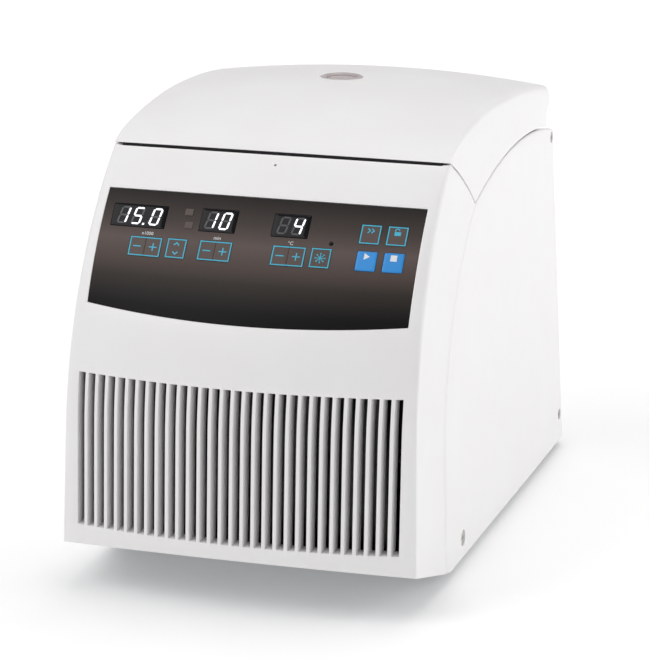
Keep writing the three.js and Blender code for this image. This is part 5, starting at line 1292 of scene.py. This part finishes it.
# Pieces whose shape is right already and need only soft edges: node, name, edge, finish, body, slot
softened = (
    ("base_tray", "baseTray", 0.5, zincPlate, "housing", "zinc_plate"),
    ("top_deck", "topDeck", 0.7, powderWhite, "housing", "white_enamel"),
    ("lid_liner", "lidLiner", 0.6, mouldedWhite, "lid", "white_plastic"),
    ("lid_striker", "lidStriker", 0.3, stainlessSteel, "lid", "stainless"),
    ("hinge_arm_left", "hingeArmLeft", 0.3, zincPlate, "lid", "zinc_plate"),
    ("hinge_arm_right", "hingeArmRight", 0.3, zincPlate, "lid", "zinc_plate"),
    ("hinge_bracket_left", "hingeBracketLeft", 0.3, zincPlate, "housing", "zinc_plate"),
    ("hinge_bracket_right", "hingeBracketRight", 0.3, zincPlate, "housing", "zinc_plate"),
    ("power_inlet", "powerInlet", 0.35, mouldedBlack, "housing", "black_plastic"),
    ("power_switch", "powerRocker", 0.4, mouldedBlack, "rocker", "black_plastic"),
)
for node, name, edge, material, body, slot in softened:
    piece = finishPiece(refined(node, name, edge), material, body, slot, node)
    applyModifier(piece, "WEIGHTED_NORMAL", keep_sharp=True)

# Nodes that keep their own mesh and get a finish
keptFinish = {
    powderWhite: ("rear_panel",),
    stainlessSteel: ("hinge_rod", "drive_shaft", "lock_bolt"),
    mouldedBlack: ("lock_housing", "fan_frame", "fan_rotor"),
    bakedEnamel: ("compressor", "condenser"),
    # The condenser's black enamel is also painted shade: it makes the slots of the grille show dark
    castAluminium: ("motor_housing",),
    mouldedRubber: ("motor_mount_1", "motor_mount_2", "motor_mount_3"),
    drawnCopper: ("evaporator_coil", "discharge_pipe", "suction_pipe"),
    cutFoam: ("insulation_pot",),
    lacquerGreen: ("control_board", "power_board"),
}
for material, nodes in keptFinish.items():
    for node in nodes:
        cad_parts[node].material_slots[0].material = material
print("small pieces and finishes done")

# Floor, light and camera, in metres. The floor's glow is painted light: it grows with the distance from the
# object, so the floor round the object is painted darker, a painted shade, and far away it is painted bright.
stageSettings = {
    "floorSize": 12, "floorTone": "#F8F8F8", "floorDarker": "#F6F6F6", "glow": 0.18, "farPaintedGlow": 0.6,
    "reach": (0.6, 2.6), "horizon": 0.42, "zenith": 0.46, "aim": (0, 0, 0.15),
    "lights": {
        "key": ((2.2, -0.7, 1.9), 2.2, 2.5), "left": ((-1.7, -1.4, 2.4), 2.4, 31),
        "top": ((0.2, 0.6, 2.6), 2.4, 20), "flank": ((2.6, 0.8, 0.9), 2.0, 19),
    },
}


def makeFloor():
    floor = added(bpy.ops.mesh.primitive_plane_add, size=stageSettings["floorSize"])
    floor.name = "floorSheet"
    sheet = grained("acrylicFloor", stageSettings["floorTone"], stageSettings["floorDarker"],
                    roughness=0.8, grain=1.0, lift=0.02)
    place = addNode(sheet, "TexCoord").outputs["Object"]
    # Painted light and shade: the floor's emission is low near the object and high far from it
    away = addNode(sheet, "VectorMath", {"operation": "LENGTH"}, {"Vector": place})
    near, far = stageSettings["reach"]
    glow = addNode(sheet, "MapRange",
                   {"From Min": near, "From Max": far, "To Min": stageSettings["glow"],
                    "To Max": stageSettings["farPaintedGlow"]}, {"Value": away.outputs["Value"]})
    surface(sheet, {"Emission Color": colour("#FFFFFF")}, {"Emission Strength": glow.outputs["Result"]})
    floor.data.materials.append(sheet)


def makeLight(name, place, size, power):
    light = added(bpy.ops.object.light_add, type="AREA", location=place)
    light.name = name + "Light"
    light.data.shape = "DISK"
    light.data.size = size
    light.data.energy = power
    aim = Vector(stageSettings["aim"]) - Vector(place)
    light.rotation_euler = aim.to_track_quat("-Z", "Y").to_euler()


def makeWorld():
    world = bpy.data.worlds.new("softStudio")
    world.use_nodes = True
    background = world.node_tree.nodes["Background"]
    background.inputs["Color"].default_value = colour("#FFFFFF")
    direction = addNode(world, "TexCoord").outputs["Generated"]
    axes = addNode(world, "SeparateXYZ", None, {"Vector": direction})
    strength = addNode(world, "MapRange",
                       {"To Min": stageSettings["horizon"], "To Max": stageSettings["zenith"]},
                       {"Value": axes.outputs["Z"]})
    world.node_tree.links.new(strength.outputs["Result"], background.inputs["Strength"])
    bpy.context.scene.world = world


cameraSettings = {"place": (662.6, -2132.2, 765.1), "azimuth": 17.292 * degree, "elevation": 15.520 * degree,
                  "lens": 166.15, "sensor": 36, "clipEnd": 20}


def makeCamera():
    place = [value * mm for value in cameraSettings["place"]]
    turn = (math.pi / 2 - cameraSettings["elevation"], 0, cameraSettings["azimuth"])
    camera = added(bpy.ops.object.camera_add, location=place, rotation=turn)
    camera.data.lens = cameraSettings["lens"]
    camera.data.sensor_width = cameraSettings["sensor"]
    camera.data.sensor_fit = "HORIZONTAL"
    camera.data.clip_end = cameraSettings["clipEnd"]
    bpy.context.scene.camera = camera


makeFloor()
for name, values in stageSettings["lights"].items():
    makeLight(name, *values)
makeWorld()
makeCamera()
bpy.context.scene.view_settings.view_transform = "Standard"
print("stage made")
